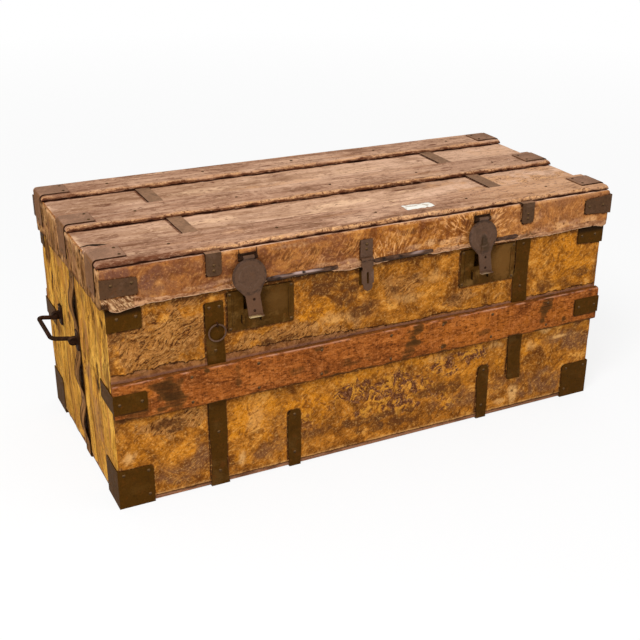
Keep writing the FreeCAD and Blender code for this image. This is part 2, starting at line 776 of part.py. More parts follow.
def hasp(side_name, lock_x, ribbed):
    """A disc and tongue on a barrel, with its staple, hanging from a bracket on the lid."""
    hasp_x = lock_x + hasp_offset
    pivot = vec(hasp_x, hasp_pivot_y, hasp_pivot_z)
    half_plate = hasp_thickness / 2
    staple_drop = hasp_pivot_z - slot_z
    length = staple_drop + tongue_tail

    def local(x, y, drop):
        return pivot + vec(x, y, -drop)

    def flat(corners, radii, front, back):
        points = [local(x, front, drop) for x, drop in corners]
        return slab(points, radii, vec(0, back - front, 0))

    lean = tongue_lean / (length - disc_drop)
    neck_x = lean * neck_end
    disc = Part.makeCylinder(disc_radius, hasp_thickness, local(0, -half_plate, disc_drop), Y_AXIS)
    neck = flat([(-neck_width / 2, disc_drop + neck_start), (neck_width / 2, disc_drop + neck_start),
                 (neck_x + tongue_width / 2, disc_drop + neck_end),
                 (neck_x - tongue_width / 2, disc_drop + neck_end)], (0, 0, 0, 0), -half_plate, half_plate)
    tongue = flat([(-tongue_width / 2, disc_drop), (tongue_width / 2, disc_drop),
                   (tongue_lean + tongue_width / 2, length), (tongue_lean - tongue_width / 2, length)],
                  (0, 0, 0, 0), -half_plate, half_plate)
    lip = box(hasp_x + tongue_lean - tongue_width / 2, hasp_x + tongue_lean + tongue_width / 2,
              hasp_pivot_y - half_plate - tongue_lip, hasp_pivot_y + half_plate,
              hasp_pivot_z - length, hasp_pivot_z - length + hasp_thickness)
    knuckle = cylinder_x(hasp_x - knuckle_length / 2, hasp_x + knuckle_length / 2,
                         hasp_pivot_y, hasp_pivot_z, knuckle_radius)
    hanger = box(hasp_x - knuckle_length / 2, hasp_x + knuckle_length / 2,
                 hasp_pivot_y - half_plate, hasp_pivot_y + half_plate,
                 hasp_pivot_z - knuckle_radius - hasp_thickness, hasp_pivot_z)
    whole = disc.multiFuse([neck, tongue, lip, knuckle, hanger])
    if ribbed:
        rib = flat([(0, disc_drop - 2 * rib_radius), (2 * rib_radius, disc_drop + neck_end),
                    (-rib_radius, disc_drop + neck_end)], (rib_radius / 2, rib_radius / 2, rib_radius / 2),
                   -half_plate - rib_rise, -half_plate)
        whole = whole.fuse(rib)
    whole = whole.removeSplitter()
    bore = cylinder_x(hasp_x - knuckle_length, hasp_x + knuckle_length,
                      hasp_pivot_y, hasp_pivot_z, pin_radius + pin_fit)
    whole = whole.cut(bore)

    staple_x = lean * (staple_drop - disc_drop)
    half_height = (staple_height - 2 * staple_radius) / 2 + staple_radius
    reach_drop = staple_drop - half_height - staple_radius
    tip = (iron_front - staple_gap - hasp_pivot_y + reach_drop * math.sin(hasp_tilt)) / math.cos(hasp_tilt)
    far = tip - staple_radius
    staple = rod([local(staple_x, half_plate, staple_drop - half_height),
                  local(staple_x, far, staple_drop - half_height),
                  local(staple_x, far, staple_drop + half_height),
                  local(staple_x, half_plate, staple_drop + half_height)],
                 staple_radius, (staple_bend, staple_bend))
    rivets = [dome(rivet_radius, rivet_rise, local(staple_x, -half_plate, staple_drop + way * half_height),
                   Y_AXIS * -1) for way in (-1, 1)]
    for piece in [whole, staple] + rivets:
        turned(piece, pivot, X_AXIS, -hasp_tilt_degrees)
    save("hasp_" + side_name, whole)
    save("hasp_staple_" + side_name, staple, *rivets)

    base = plate(LID_FRONT, span(hasp_x, bracket_width), span(hasp_pivot_z, bracket_height))
    pieces = []
    inner = knuckle_length / 2 + swing_gap
    outer = inner + bracket_knuckle_length
    for side in (-1, 1):
        low, high = sorted((hasp_x + side * inner, hasp_x + side * outer))
        pieces.append(cylinder_x(low, high, hasp_pivot_y, hasp_pivot_z, knuckle_radius))
        pieces.append(box(low, high, hasp_pivot_y, front_y - iron,
                          hasp_pivot_z - knuckle_radius, hasp_pivot_z + knuckle_radius))
        foot = vec(hasp_x + side * (outer - horn_radius), front_y - iron - horn_radius, hasp_pivot_z)
        lean_out = vec(side * horn_splay, 0, horn_height)
        pieces.append(Part.makeCone(horn_radius, horn_tip_radius, lean_out.Length, foot, lean_out))
    bracket = base.multiFuse(pieces).removeSplitter()
    pin = cylinder_x(hasp_x - outer, hasp_x + outer, hasp_pivot_y, hasp_pivot_z, pin_radius)
    save("hasp_bracket_" + side_name, bracket.cut(pin))
    return pin


def centre_hasp():
    """The slotted hasp: a leaf on the lid, a hanging leaf and the keeper behind its slot."""
    half_leaf = centre_leaf_width / 2
    half_knuckle = centre_knuckle_length / 2
    pivot = vec(centre_x, centre_pivot_y, centre_pivot_z)
    leaf = plate(LID_FRONT, span(centre_x, centre_leaf_width),
                 (centre_pivot_z + swing_gap, lid_top - centre_leaf_top), (0, 0, iron, iron))
    pieces = []
    for side in (-1, 1):
        low, high = sorted((centre_x + side * (half_knuckle + swing_gap), centre_x + side * half_leaf))
        pieces.append(cylinder_x(low, high, centre_pivot_y, centre_pivot_z, centre_knuckle_radius))
        pieces.append(box(low, high, centre_pivot_y, front_y - iron,
                          centre_pivot_z, centre_pivot_z + centre_knuckle_radius))
    upper = leaf.multiFuse(pieces).removeSplitter()
    pin = cylinder_x(centre_x - half_leaf, centre_x + half_leaf, centre_pivot_y, centre_pivot_z,
                     centre_pin_radius)
    save("centre_hasp_upper", upper.cut(pin))
    nails_on(lid_nails, LID_FRONT, [(centre_x, lid_top - centre_leaf_top - nail_inset),
                                    (centre_x, centre_pivot_z + 2 * nail_inset)])

    half_thick = centre_thickness / 2

    def part_of_leaf(width, low_drop, high_drop, radius):
        ends = ((-1, high_drop), (1, high_drop), (1, low_drop), (-1, low_drop))
        points = [pivot + vec(way * width / 2, -half_thick, -drop) for way, drop in ends]
        return slab(points, (radius, radius, 0, 0), vec(0, centre_thickness, 0))

    top_drop = centre_knuckle_radius + 2 * swing_gap
    shoulder = part_of_leaf(centre_leaf_width, top_drop, centre_neck_start, 0)
    neck = part_of_leaf(centre_neck_width, centre_neck_start, centre_neck_end, 0)
    belly = part_of_leaf(centre_leaf_width, centre_neck_end, centre_lobe_start, plate_round)
    lobe = part_of_leaf(centre_lobe_width, centre_lobe_start - plate_round, centre_length,
                        centre_lobe_width / 2 - swing_gap)
    hanger = box(centre_x - half_knuckle, centre_x + half_knuckle,
                 centre_pivot_y - half_thick, centre_pivot_y + half_thick,
                 centre_pivot_z - centre_neck_start, centre_pivot_z)
    knuckle = cylinder_x(centre_x - half_knuckle, centre_x + half_knuckle,
                         centre_pivot_y, centre_pivot_z, centre_knuckle_radius)
    lower = shoulder.multiFuse([neck, belly, lobe, hanger, knuckle]).removeSplitter()
    slot_middle = pivot + vec(0, -half_thick - overrun, -centre_slot_drop)
    slot_points = [slot_middle + vec(across * centre_slot_width / 2, 0, up * centre_slot_length / 2)
                   for across, up in ((-1, -1), (1, -1), (1, 1), (-1, 1))]
    slot_radii = (centre_slot_width / 4,) * 4
    slot = slab(slot_points, slot_radii, vec(0, centre_thickness + 2 * overrun, 0))
    bore = cylinder_x(centre_x - half_leaf, centre_x + half_leaf, centre_pivot_y, centre_pivot_z,
                      centre_pin_radius + pin_fit)
    lower = turned(lower.cut(bore).cut(slot), pivot, X_AXIS, -hasp_tilt_degrees)
    save("centre_hasp_lower", lower)

    keeper_z = centre_pivot_z - centre_slot_drop
    near_drop = centre_slot_drop - keeper_loop_height / 2
    reach_y = centre_pivot_y + half_thick - near_drop * math.sin(hasp_tilt) + staple_gap
    base = plate(BODY_FRONT, span(centre_x, keeper_width), span(keeper_z, keeper_height), (plate_round,) * 4)
    half_loop = keeper_loop_height / 2 - keeper_radius
    loop = rod([vec(centre_x, body_front - iron / 2, keeper_z + half_loop),
                vec(centre_x, reach_y + keeper_radius, keeper_z + half_loop),
                vec(centre_x, reach_y + keeper_radius, keeper_z - half_loop),
                vec(centre_x, body_front - iron / 2, keeper_z - half_loop)],
               keeper_radius, (keeper_bend, keeper_bend))
    save("hasp_keeper", base.fuse(loop))
    for way in (-1, 1):
        height = keeper_z + way * (keeper_height - nail_inset) / 2
        nails_on(body_nails, BODY_FRONT, [(centre_x, height)])
    return pin


def pull_ring():
    """A loose ring on the left strap, held by a small staple."""
    ring_x = left_strap_x + ring_offset
    ring_z = rim_height - ring_drop
    ring_y = iron_front - ring_stand - ring_rod
    ring_middle = vec(ring_x, ring_y, ring_z - ring_radius)
    save("pull_ring", Part.makeTorus(ring_radius, ring_rod, ring_middle, Y_AXIS))
    half = ring_rod + ring_play + ring_staple_rod
    bend = half - ring_play / 2
    path = [(iron_front, half), (ring_y - half, half), (ring_y - half, -half), (iron_front, -half)]
    save("ring_staple", rod([vec(ring_x, y, ring_z + rise) for y, rise in path],
                            ring_staple_rod, (bend, bend)))


def handles():
    """A bail at each end, its turned pins in two eyes; the front eye stands on the side strap."""
    eye_radius = handle_rod + eye_wall
    for name, side, face in (("left", -1, BODY_LEFT), ("right", 1, BODY_RIGHT)):
        pivot_x = side * (body_half + iron + eye_plate + eye_radius)
        eyes = []
        for way in (-1, 1):
            eye_y = handle_y + way * (handle_span / 2 + eye_inset)
            seat = iron if way < 0 else 0
            thick = eye_plate if way < 0 else eye_plate + iron
            foot = plate(face, span(eye_y, eye_plate_width), span(handle_z, eye_plate_height),
                         (plate_round,) * 4, thick, seat)
            low, high = sorted((side * (body_half + iron + eye_plate / 2), pivot_x))
            web = box(low, high, eye_y - eye_width / 2, eye_y + eye_width / 2,
                      handle_z - eye_radius, handle_z + eye_radius)
            barrel = cylinder_y(eye_y - eye_width / 2, eye_y + eye_width / 2, pivot_x, handle_z, eye_radius)
            bore = cylinder_y(eye_y - eye_plate_width, eye_y + eye_plate_width, pivot_x, handle_z,
                              handle_rod + pin_fit)
            eyes.append(fuse(foot, web, barrel).cut(bore))
            for rise in (-1, 1):
                height = handle_z + rise * (eye_plate_height / 2 - nail_inset / 2)
                nails_on(body_nails, face, [(eye_y, height)], iron + eye_plate)
        save("handle_eyes_" + name, *eyes)
        low_y, high_y = span(handle_y, handle_span)
        end_x = pivot_x + side * handle_arm
        points = [(pivot_x, high_y + handle_pin_length), (pivot_x, high_y), (end_x, high_y),
                  (end_x, low_y), (pivot_x, low_y), (pivot_x, low_y - handle_pin_length)]
        bail = rod([vec(x, y, handle_z) for x, y in points], handle_rod,
                   (handle_pin_turn, handle_bend, handle_bend, handle_pin_turn))
        turned(bail, vec(pivot_x, 0, handle_z), Y_AXIS, -side * handle_tilt_degrees)
        save("handle_" + name, bail)


def rear_hinges():
    """Butt hinges on the back: two knuckles below, one above, on a pin along the rim."""
    body_leaves, lid_leaves, pins = [], [], []
    clear = hinge_radius + swing_gap
    for share in hinge_shares:
        middle = share * lid_length
        low, high = span(middle, hinge_width)
        split = hinge_width * hinge_knuckle_share
        bore = cylinder_x(low - overrun, high + overrun, hinge_y, rim_height, hinge_pin_radius + pin_fit)
        lower = [plate(BODY_BACK, (low, high), (rim_height - hinge_body_drop, rim_height - clear),
                       (plate_round, plate_round, 0, 0), hinge_leaf)]
        below = (rim_height - clear, rim_height)
        for start, end in ((low, low + split), (high - split, high)):
            lower.append(plate(BODY_BACK, (start, end), below, thickness=hinge_leaf))
            lower.append(cylinder_x(start, end, hinge_y, rim_height, hinge_radius))
        pin = cylinder_x(low, high, hinge_y, rim_height, hinge_pin_radius)
        body_leaves.append(fuse(*lower).cut(pin))
        start, end = low + split + swing_gap, high - split - swing_gap
        upper = fuse(plate(LID_BACK, (low, high), (rim_height + clear, rim_height + hinge_leaf_height),
                           (0, 0, plate_round, plate_round), hinge_leaf),
                     plate(LID_BACK, (start, end), (rim_height, rim_height + clear), thickness=hinge_leaf),
                     cylinder_x(start, end, hinge_y, rim_height, hinge_radius))
        lid_leaves.append(upper.cut(bore))
        pins.append(pin)
        for side in (-1, 1):
            across = middle + side * (hinge_width / 2 - nail_inset)
            nails_on(body_nails, BODY_BACK, [(across, rim_height - hinge_body_drop + nail_inset)], hinge_leaf)
            nails_on(lid_nails, LID_BACK, [(across, rim_height + hinge_leaf_height - nail_inset)], hinge_leaf)
    save("hinge_body_leaves", *body_leaves)
    save("hinge_lid_leaves", *lid_leaves)
    save("hinge_pins", *pins)


case_boards()
case_hide()
body_slats()
case_straps()
corner_irons()
lid_boards()
lid_hide()
lid_slats()
lid_straps()
lid_edging(left_lock_x + hasp_offset, right_lock_x + hasp_offset)
hasp_pins = []
for side_name, lock_x, ribbed in (("left", left_lock_x, False), ("right", right_lock_x, True)):
    lock(side_name, lock_x)
    hasp_pins.append(hasp(side_name, lock_x, ribbed))
hasp_pins.append(centre_hasp())
save("hasp_pins", *hasp_pins)
pull_ring()
handles()
rear_hinges()
save("case_nails", *body_nails)
save("lid_nails", *lid_nails)
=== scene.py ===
import bpy
import bmesh
import functools
import math
import numpy as np
from mathutils import Matrix, Vector
from mathutils.kdtree import KDTree


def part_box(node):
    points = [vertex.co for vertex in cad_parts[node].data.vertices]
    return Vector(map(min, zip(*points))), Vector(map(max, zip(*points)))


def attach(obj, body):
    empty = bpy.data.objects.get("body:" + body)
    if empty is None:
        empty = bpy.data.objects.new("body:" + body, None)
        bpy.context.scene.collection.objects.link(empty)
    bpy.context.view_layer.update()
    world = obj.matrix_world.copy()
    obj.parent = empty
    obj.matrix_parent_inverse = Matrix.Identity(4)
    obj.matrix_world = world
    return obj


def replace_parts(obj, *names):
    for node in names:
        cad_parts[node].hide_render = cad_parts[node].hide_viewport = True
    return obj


# A flat-topped travelling trunk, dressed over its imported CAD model. Lengths are in metres,
# save in the tables whose values are multiplied by MM.
# X runs along the length to the right, Y runs to the back, Z is up.

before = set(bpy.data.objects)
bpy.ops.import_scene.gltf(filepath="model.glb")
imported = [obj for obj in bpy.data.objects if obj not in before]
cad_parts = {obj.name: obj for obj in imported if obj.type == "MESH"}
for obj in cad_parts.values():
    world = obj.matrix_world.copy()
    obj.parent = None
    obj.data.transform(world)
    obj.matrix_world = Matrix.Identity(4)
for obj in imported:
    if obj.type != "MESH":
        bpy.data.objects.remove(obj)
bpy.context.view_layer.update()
MM = 0.001

# Places taken from the CAD
case_low, case_high = np.array(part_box("case_hide"))
lid_low, lid_high = np.array(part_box("lid_hide"))
slat_low, slat_high = np.array(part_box("front_slat"))
MID_Y = (lid_low[1] + lid_high[1]) / 2


# Noise on arrays of points

def lattice(cell, seed):
    """A repeatable number from -1 to 1 for every whole-numbered cell."""
    mixed = cell @ np.array([374761393, 668265263, 1440662683]) + seed * 974634777
    mixed &= 0xFFFFFFFF
    mixed = ((mixed ^ (mixed >> 13)) * 1274126177) & 0xFFFFFFFF
    return ((mixed ^ (mixed >> 16)) & 0xFFFF) / 32767.5 - 1


def noise(points, size, seed, octaves=1):
    """Smooth noise from about -1 to 1; size is the width of its lumps, one number or three."""
    total, weight, reach = 0, 1.0, 0
    for octave in range(octaves):
        scaled = points / np.array(size) * 2 ** octave + 31.7 * octave
        cell = np.floor(scaled).astype(np.int64)
        part = scaled - cell
        part = part * part * (3 - 2 * part)
        value = 0
        for corner in np.ndindex(2, 2, 2):
            share = np.prod(np.where(corner, part, 1 - part), axis=-1)
            value = value + share * lattice(cell + np.array(corner), seed + octave)
        total = total + weight * value
        reach += weight
        weight *= 0.55
    return total / reach * 1.5


def smooth(value, low, high):
    """0 below low, 1 above high and a smooth step between."""
    share = np.clip((value - low) / (high - low), 0, 1)
    return share * share * (3 - 2 * share)


def most(*values):
    """The greatest of some values at every point."""
    return functools.reduce(np.maximum, values)


def spots(points, axes, places, seed, ragged=0.5, size=0.018):
    """Soft, ragged-edged spots: each place is two middles, two half-widths and an amount."""
    warp = noise(points, size, seed, 3)
    total = np.zeros(len(points))
    for *place, amount in places:
        first, second, wide, high = (value * MM for value in place)
        far = np.hypot((points[:, axes[0]] - first) / wide, (points[:, axes[1]] - second) / high)
        total = np.maximum(total, amount * smooth(1.25 - far + ragged * warp, 0, 0.9))
    return total


def spots_by(choice, points, first, second):
    """Spots of one kind where the choice holds and of another elsewhere, each given as spots takes them."""
    return np.where(choice, spots(points, *first), spots(points, *second))


# Materials

def linear(tone):
    """A linear colour from three values of 0 to 255; a socket or a linear colour is handed back."""
    if isinstance(tone, bpy.types.NodeSocket) or len(tone) == 4:
        return tone
    values = [value / 255 for value in tone]
    return (*(value / 12.92 if value <= 0.04045 else ((value + 0.055) / 1.055) ** 2.4 for value in values), 1)


def dimmed(tone, share):
    """A tone made darker, or paler where the share is above 1."""
    return (*(value * share for value in linear(tone)[:3]), 1)


def add_node(tree, kind, inputs=None, **settings):
    """A new node; inputs give its sockets, by name or number, a value or another node's socket."""
    node = tree.nodes.new(kind)
    for key, value in settings.items():
        setattr(node, key, value)
    for socket, value in (inputs or {}).items():
        if isinstance(value, bpy.types.NodeSocket):
            tree.links.new(value, node.inputs[socket])
        else:
            node.inputs[socket].default_value = value
    return node


class Nodes:
    """A material's node tree, written as short calls."""

    def __init__(self, name, roughness=0.85, specular=0.04):
        self.material = bpy.data.materials.new(name)
        self.material.use_nodes = True
        self.tree = self.material.node_tree
        self.shader = self.tree.nodes["Principled BSDF"]
        self.shader.inputs["Specular IOR Level"].default_value = specular
        self.roughness = roughness
        self.place = self.add("ShaderNodeTexCoord").outputs["Object"]
        self.at = self.parts(self.place)
        self.normal = self.parts(self.add("ShaderNodeNewGeometry").outputs["Normal"])

    def add(self, kind, inputs=None, **settings):
        """A new node in this tree."""
        return add_node(self.tree, kind, inputs, **settings)

    def parts(self, vector):
        """A vector's X, Y and Z."""
        return dict(zip("XYZ", self.add("ShaderNodeSeparateXYZ", {"Vector": vector}).outputs))

    def length(self, vector):
        """How long a vector is."""
        return self.add("ShaderNodeVectorMath", {0: vector}, operation="LENGTH").outputs["Value"]

    def scaled(self, scale, turn=(0, 0, 0), place=None):
        """A place scaled three ways, along axes turned by degrees."""
        return self.add("ShaderNodeMapping", {
            "Vector": place or self.place, "Scale": [1 / value for value in scale],
            "Rotation": [math.radians(value) for value in turn]}, vector_type="TEXTURE").outputs["Vector"]

    def noise(self, scale, detail=4.0, rough=0.6, bend=0.0, place=None, output="Fac"):
        """Noise with so many lumps to a metre, mostly between 0.3 and 0.7."""
        return self.add("ShaderNodeTexNoise", {
            "Vector": place or self.place, "Scale": scale, "Detail": detail, "Roughness": rough,
            "Distortion": bend}).outputs[output]

    def streaks(self, scale, detail=4.0, rough=0.65, bend=0.4, turn=(0, 0, 0), place=None):
        """Noise drawn out by three different scales, along axes turned by degrees."""
        return self.noise(1.0, detail, rough, bend, self.scaled(scale, turn, place))

    def swirled(self, scale, amount):
        """The place, pushed about by a broad noise."""
        push = self.noise(scale, 1.0, 0.5, output="Color")
        return self.add("ShaderNodeVectorMath", {0: push, 1: (amount,) * 3, 2: self.place},
                        operation="MULTIPLY_ADD").outputs["Vector"]

    def spot(self, middle, reach, turn=0.0):
        """The distance from a middle, where 1 is the edge of an ellipsoid, turned about Z by degrees."""
        return self.length(self.add("ShaderNodeMapping", {
            "Vector": self.place, "Location": middle, "Rotation": (0, 0, math.radians(turn)),
            "Scale": reach}, vector_type="TEXTURE").outputs["Vector"])

    def maths(self, operation, *values):
        """One operation on numbers or sockets."""
        return self.add("ShaderNodeMath", dict(enumerate(values)), operation=operation).outputs[0]

    def times(self, first, *others):
        """The product of numbers or sockets."""
        for other in others:
            first = self.maths("MULTIPLY", first, other)
        return first

    def band(self, value, low, high, amount=1.0):
        """0 at low, the amount at high, smooth between; low may be above high."""
        return self.add("ShaderNodeMapRange", {
            "Value": value, "From Min": low, "From Max": high, "To Min": 0.0, "To Max": amount},
            interpolation_type="SMOOTHSTEP").outputs["Result"]

    def mix(self, share, first, second):
        """The first tone where the share is 0 and the second where it is 1."""
        return self.add("ShaderNodeMix", {"Factor": share, 6: linear(first), 7: linear(second)},
                        data_type="RGBA").outputs[2]

    def over(self, base, *rows):
        """Tones laid over a base. Each row is a value, the low and high of its band, an amount and a tone.

        Any masks after them hold the tone back.
        """
        for value, low, high, amount, tone, *masks in rows:
            base = self.mix(self.times(self.band(value, low, high, amount), *masks), base, tone)
        return base

    def ramp(self, share, *stops):
        """Tones along a value from 0 to 1, by stops of a position and a tone."""
        node = self.add("ShaderNodeValToRGB", {"Fac": share})
        points = node.color_ramp.elements
        while len(points) < len(stops):
            points.new(0.5)
        for point, (position, tone) in zip(points, stops):
            point.position = position
            point.color = linear(tone)
        return node.outputs["Color"]

    def marks(self, name="marks"):
        """The three masks painted on a mesh under a name."""
        painted = self.add("ShaderNodeAttribute", attribute_name=name).outputs["Color"]
        return self.add("ShaderNodeSeparateColor", {"Color": painted}).outputs[:3]

    def grimed_and_shaded(self, base, dark, stain, black, texture):
        """A base under a dark mask of stains, grime and painted shade: a stain where the mask is low and
        nearly black where it is full.
        """
        return self.over(base, (dark, 0.04, 0.6, 1, stain, texture), (dark, 0.66, 0.98, 1, black))

    def rays(self, middle, reach):
        """Streaks that spread from a middle on the front, and their share, which fades out at the reach."""
        away = self.add("ShaderNodeVectorMath", {0: self.swirled(16.0, 0.012), 1: middle},
                        operation="SUBTRACT").outputs["Vector"]
        at, far = self.parts(away), self.length(away)
        turn = self.maths("ARCTAN2", at["Z"], at["X"])
        polar = self.add("ShaderNodeCombineXYZ", {
            "X": self.times(turn, 12.0), "Y": self.times(far, 60.0)}).outputs["Vector"]
        return self.noise(1.0, 3.0, 0.6, 0.4, polar), self.band(far, reach, reach * 0.4)

    def done(self, base, depth, *relief):
        """The finished material: its relief is a sum of values, each times a weight, up to a depth.

        Its roughness varies a little about the one it was given.
        """
        height = 0.0
        for value, weight in relief:
            height = self.maths("MULTIPLY_ADD", value, weight, height)
        bump = self.add("ShaderNodeBump", {"Distance": depth, "Height": height}).outputs["Normal"]
        rough = self.maths("MULTIPLY_ADD", self.noise(120.0, 4.0, 0.7), 0.4, self.roughness - 0.2)
        for name, socket in (("Base Color", base), ("Roughness", rough), ("Normal", bump)):
            self.tree.links.new(socket, self.shader.inputs[name])
        return self.material


def case_front_hide():
    """Yellow-brown hide: mottled at every size, flaked, stained and greyed where the masks say."""
    n = Nodes("case_front_hide")
    dark, pale, flaked = n.marks()
    purple, grey, yellow = n.marks("tones")
    swirl = n.swirled(22.0, 0.03)
    mottle = n.noise(21.0, 9.0, 0.74, 0.7)
    middle = n.noise(56.0, 5.0, 0.7, 1.3)
    fine = n.noise(270.0, 3.0, 0.75, 0.3)
    hair = n.streaks((90.0, 120.0, 330.0), 4.0, 0.7, 0.8, (0, -34, 0), swirl)
    base = n.ramp(mottle, (0.38, (94, 50, 14)), (0.44, (130, 76, 22)), (0.5, (158, 96, 28)),
                  (0.56, (184, 114, 34)), (0.62, (214, 148, 66)))
    base = n.over(
        base, (mottle, 0.3, 0.55, 0.85, (208, 130, 26), yellow),
        (middle, 0.5, 0.4, 0.5, (150, 80, 24), yellow), (mottle, 0.72, 0.44, 0.95, (118, 78, 50), grey),
        (middle, 0.49, 0.37, 0.65, (98, 54, 14)), (middle, 0.55, 0.68, 0.45, (214, 148, 62)),
        (hair, 0.47, 0.37, 0.55, (96, 52, 16)), (hair, 0.55, 0.65, 0.4, (214, 154, 80)))
    flakes = n.streaks((58.0, 70.0, 130.0), 4.0, 0.66, 1.2, (0, -26, 0), swirl)
    scaly = n.band(flaked, 0.1, 0.7)
    base = n.mix(n.times(scaly, 0.6), base, (156, 102, 48))
    base = n.over(
        base, (flakes, 0.4, 0.54, 0.7, (172, 116, 60), scaly),
        (flakes, 0.43, 0.37, 0.95, (78, 40, 16), scaly), (hair, 0.455, 0.405, 0.95, (78, 40, 16), scaly),
        (hair, 0.56, 0.62, 0.6, (206, 150, 88), scaly))
    curls = n.noise(52.0, 7.0, 0.76, 1.3)
    patchy = n.band(n.noise(30.0, 5.0, 0.66, 1.0), 0.39, 0.5)
    bruise = n.mix(n.band(fine, 0.42, 0.6), (80, 44, 24), (122, 76, 50))
    bruised = n.band(purple, 0.1, 0.6)
    base = n.over(
        base, (curls, 0.52, 0.58, 0.75, (212, 146, 52), bruised),
        (curls, 0.545, 0.49, 1, bruise, bruised, patchy), (middle, 0.25, 0.55, 1, (218, 164, 98), pale))
    base = n.grimed_and_shaded(base, dark, (92, 54, 26), (38, 20, 8), n.band(middle, 0.85, 0.35))
    base = n.over(base, (fine, 0.46, 0.33, 0.55, (84, 44, 14)), (fine, 0.55, 0.69, 0.4, (228, 174, 100)))
    torn = n.maths("MULTIPLY_ADD", n.noise(44.0, 6.0, 0.66, 0.5), 0.018,
                   n.band(n.at["X"], 0.06, -0.16, 0.008))
    above = n.maths("SUBTRACT", n.maths("SUBTRACT", n.at["Z"], slat_high[2] - 0.004), torn)
    bare = n.times(n.band(above, 0.0006, -0.0006), n.band(above, -0.03, -0.026))
    dusty = n.mix(n.band(middle, 0.4, 0.6), (108, 64, 34), (150, 102, 66))
    base = n.mix(n.times(bare, 0.72), base, dusty)
    low_dust = n.band(n.at["Z"], slat_high[2] + 0.006, slat_high[2] + 0.001)
    base = n.mix(n.times(bare, low_dust, 0.6), base, (136, 94, 76))
    base = n.over(
        base, (n.maths("ABSOLUTE", above), 0.0016, 0.0006, 0.85, (58, 30, 12), n.band(middle, 0.62, 0.5)))
    lifted = n.times(n.band(flakes, 0.38, 0.54), scaly)
    return n.done(base, 0.0014, (fine, 0.5), (hair, 0.8), (lifted, 0.7), (bare, -0.8))


def end_hide(name, base_colour, streak, shade, hollow, rusty):
    """Golden hide with wavy, bark-like upright grain, dark pits and a lilac-brown patch."""
    n = Nodes(name)
    dark, pale, lilac = n.marks()
    swirl = n.swirled(9.0, 0.035)
    grain = n.streaks((110.0, 110.0, 14.0), 6.0, 0.72, 0.6, place=swirl)
    thread = n.streaks((260.0, 260.0, 24.0), 3.0, 0.66, 0.4, place=swirl)
    ridge = n.streaks((26.0, 26.0, 7.0), 5.0, 0.66, 0.9, place=swirl)
    fine = n.noise(240.0, 3.0, 0.72)
    base = n.ramp(ridge, (0.34, shade), (0.5, base_colour), (0.66, streak))
    base = n.over(
        base, (grain, 0.48, 0.35, 0.6, shade), (grain, 0.54, 0.67, 0.6, streak),
        (n.noise(16.0, 6.0, 0.72, 1.0), 0.51, 0.63, 0.75, dimmed(base_colour, 0.66)))
    stroke = n.streaks((44.0, 44.0, 8.0), 4.0, 0.66, 0.8, place=swirl)
    base = n.over(base, (stroke, 0.53, 0.63, 0.7, rusty))
    cracks = n.streaks((90.0, 90.0, 12.0), 5.0, 0.7, 1.2, (0, 0, 0), swirl)
    rough_parts = n.band(n.noise(13.0, 3.0, 0.6, 0.6), 0.42, 0.56)
    base = n.over(
        base, (cracks, 0.45, 0.39, 0.9, dimmed(hollow, 0.8), rough_parts),
        (cracks, 0.56, 0.62, 0.7, streak, rough_parts), (thread, 0.45, 0.34, 0.8, hollow),
        (fine, 0.44, 0.32, 0.6, hollow), (grain, 0.25, 0.6, 0.7, (150, 104, 74), lilac),
        (fine, 0.2, 0.5, 0.9, (222, 170, 120), pale))
    base = n.grimed_and_shaded(base, dark, (96, 58, 24), (34, 18, 8), n.band(grain, 0.9, 0.4))
    return n.done(base, 0.002, (grain, 1.3), (ridge, 1.5), (n.band(cracks, 0.38, 0.46), 0.8))


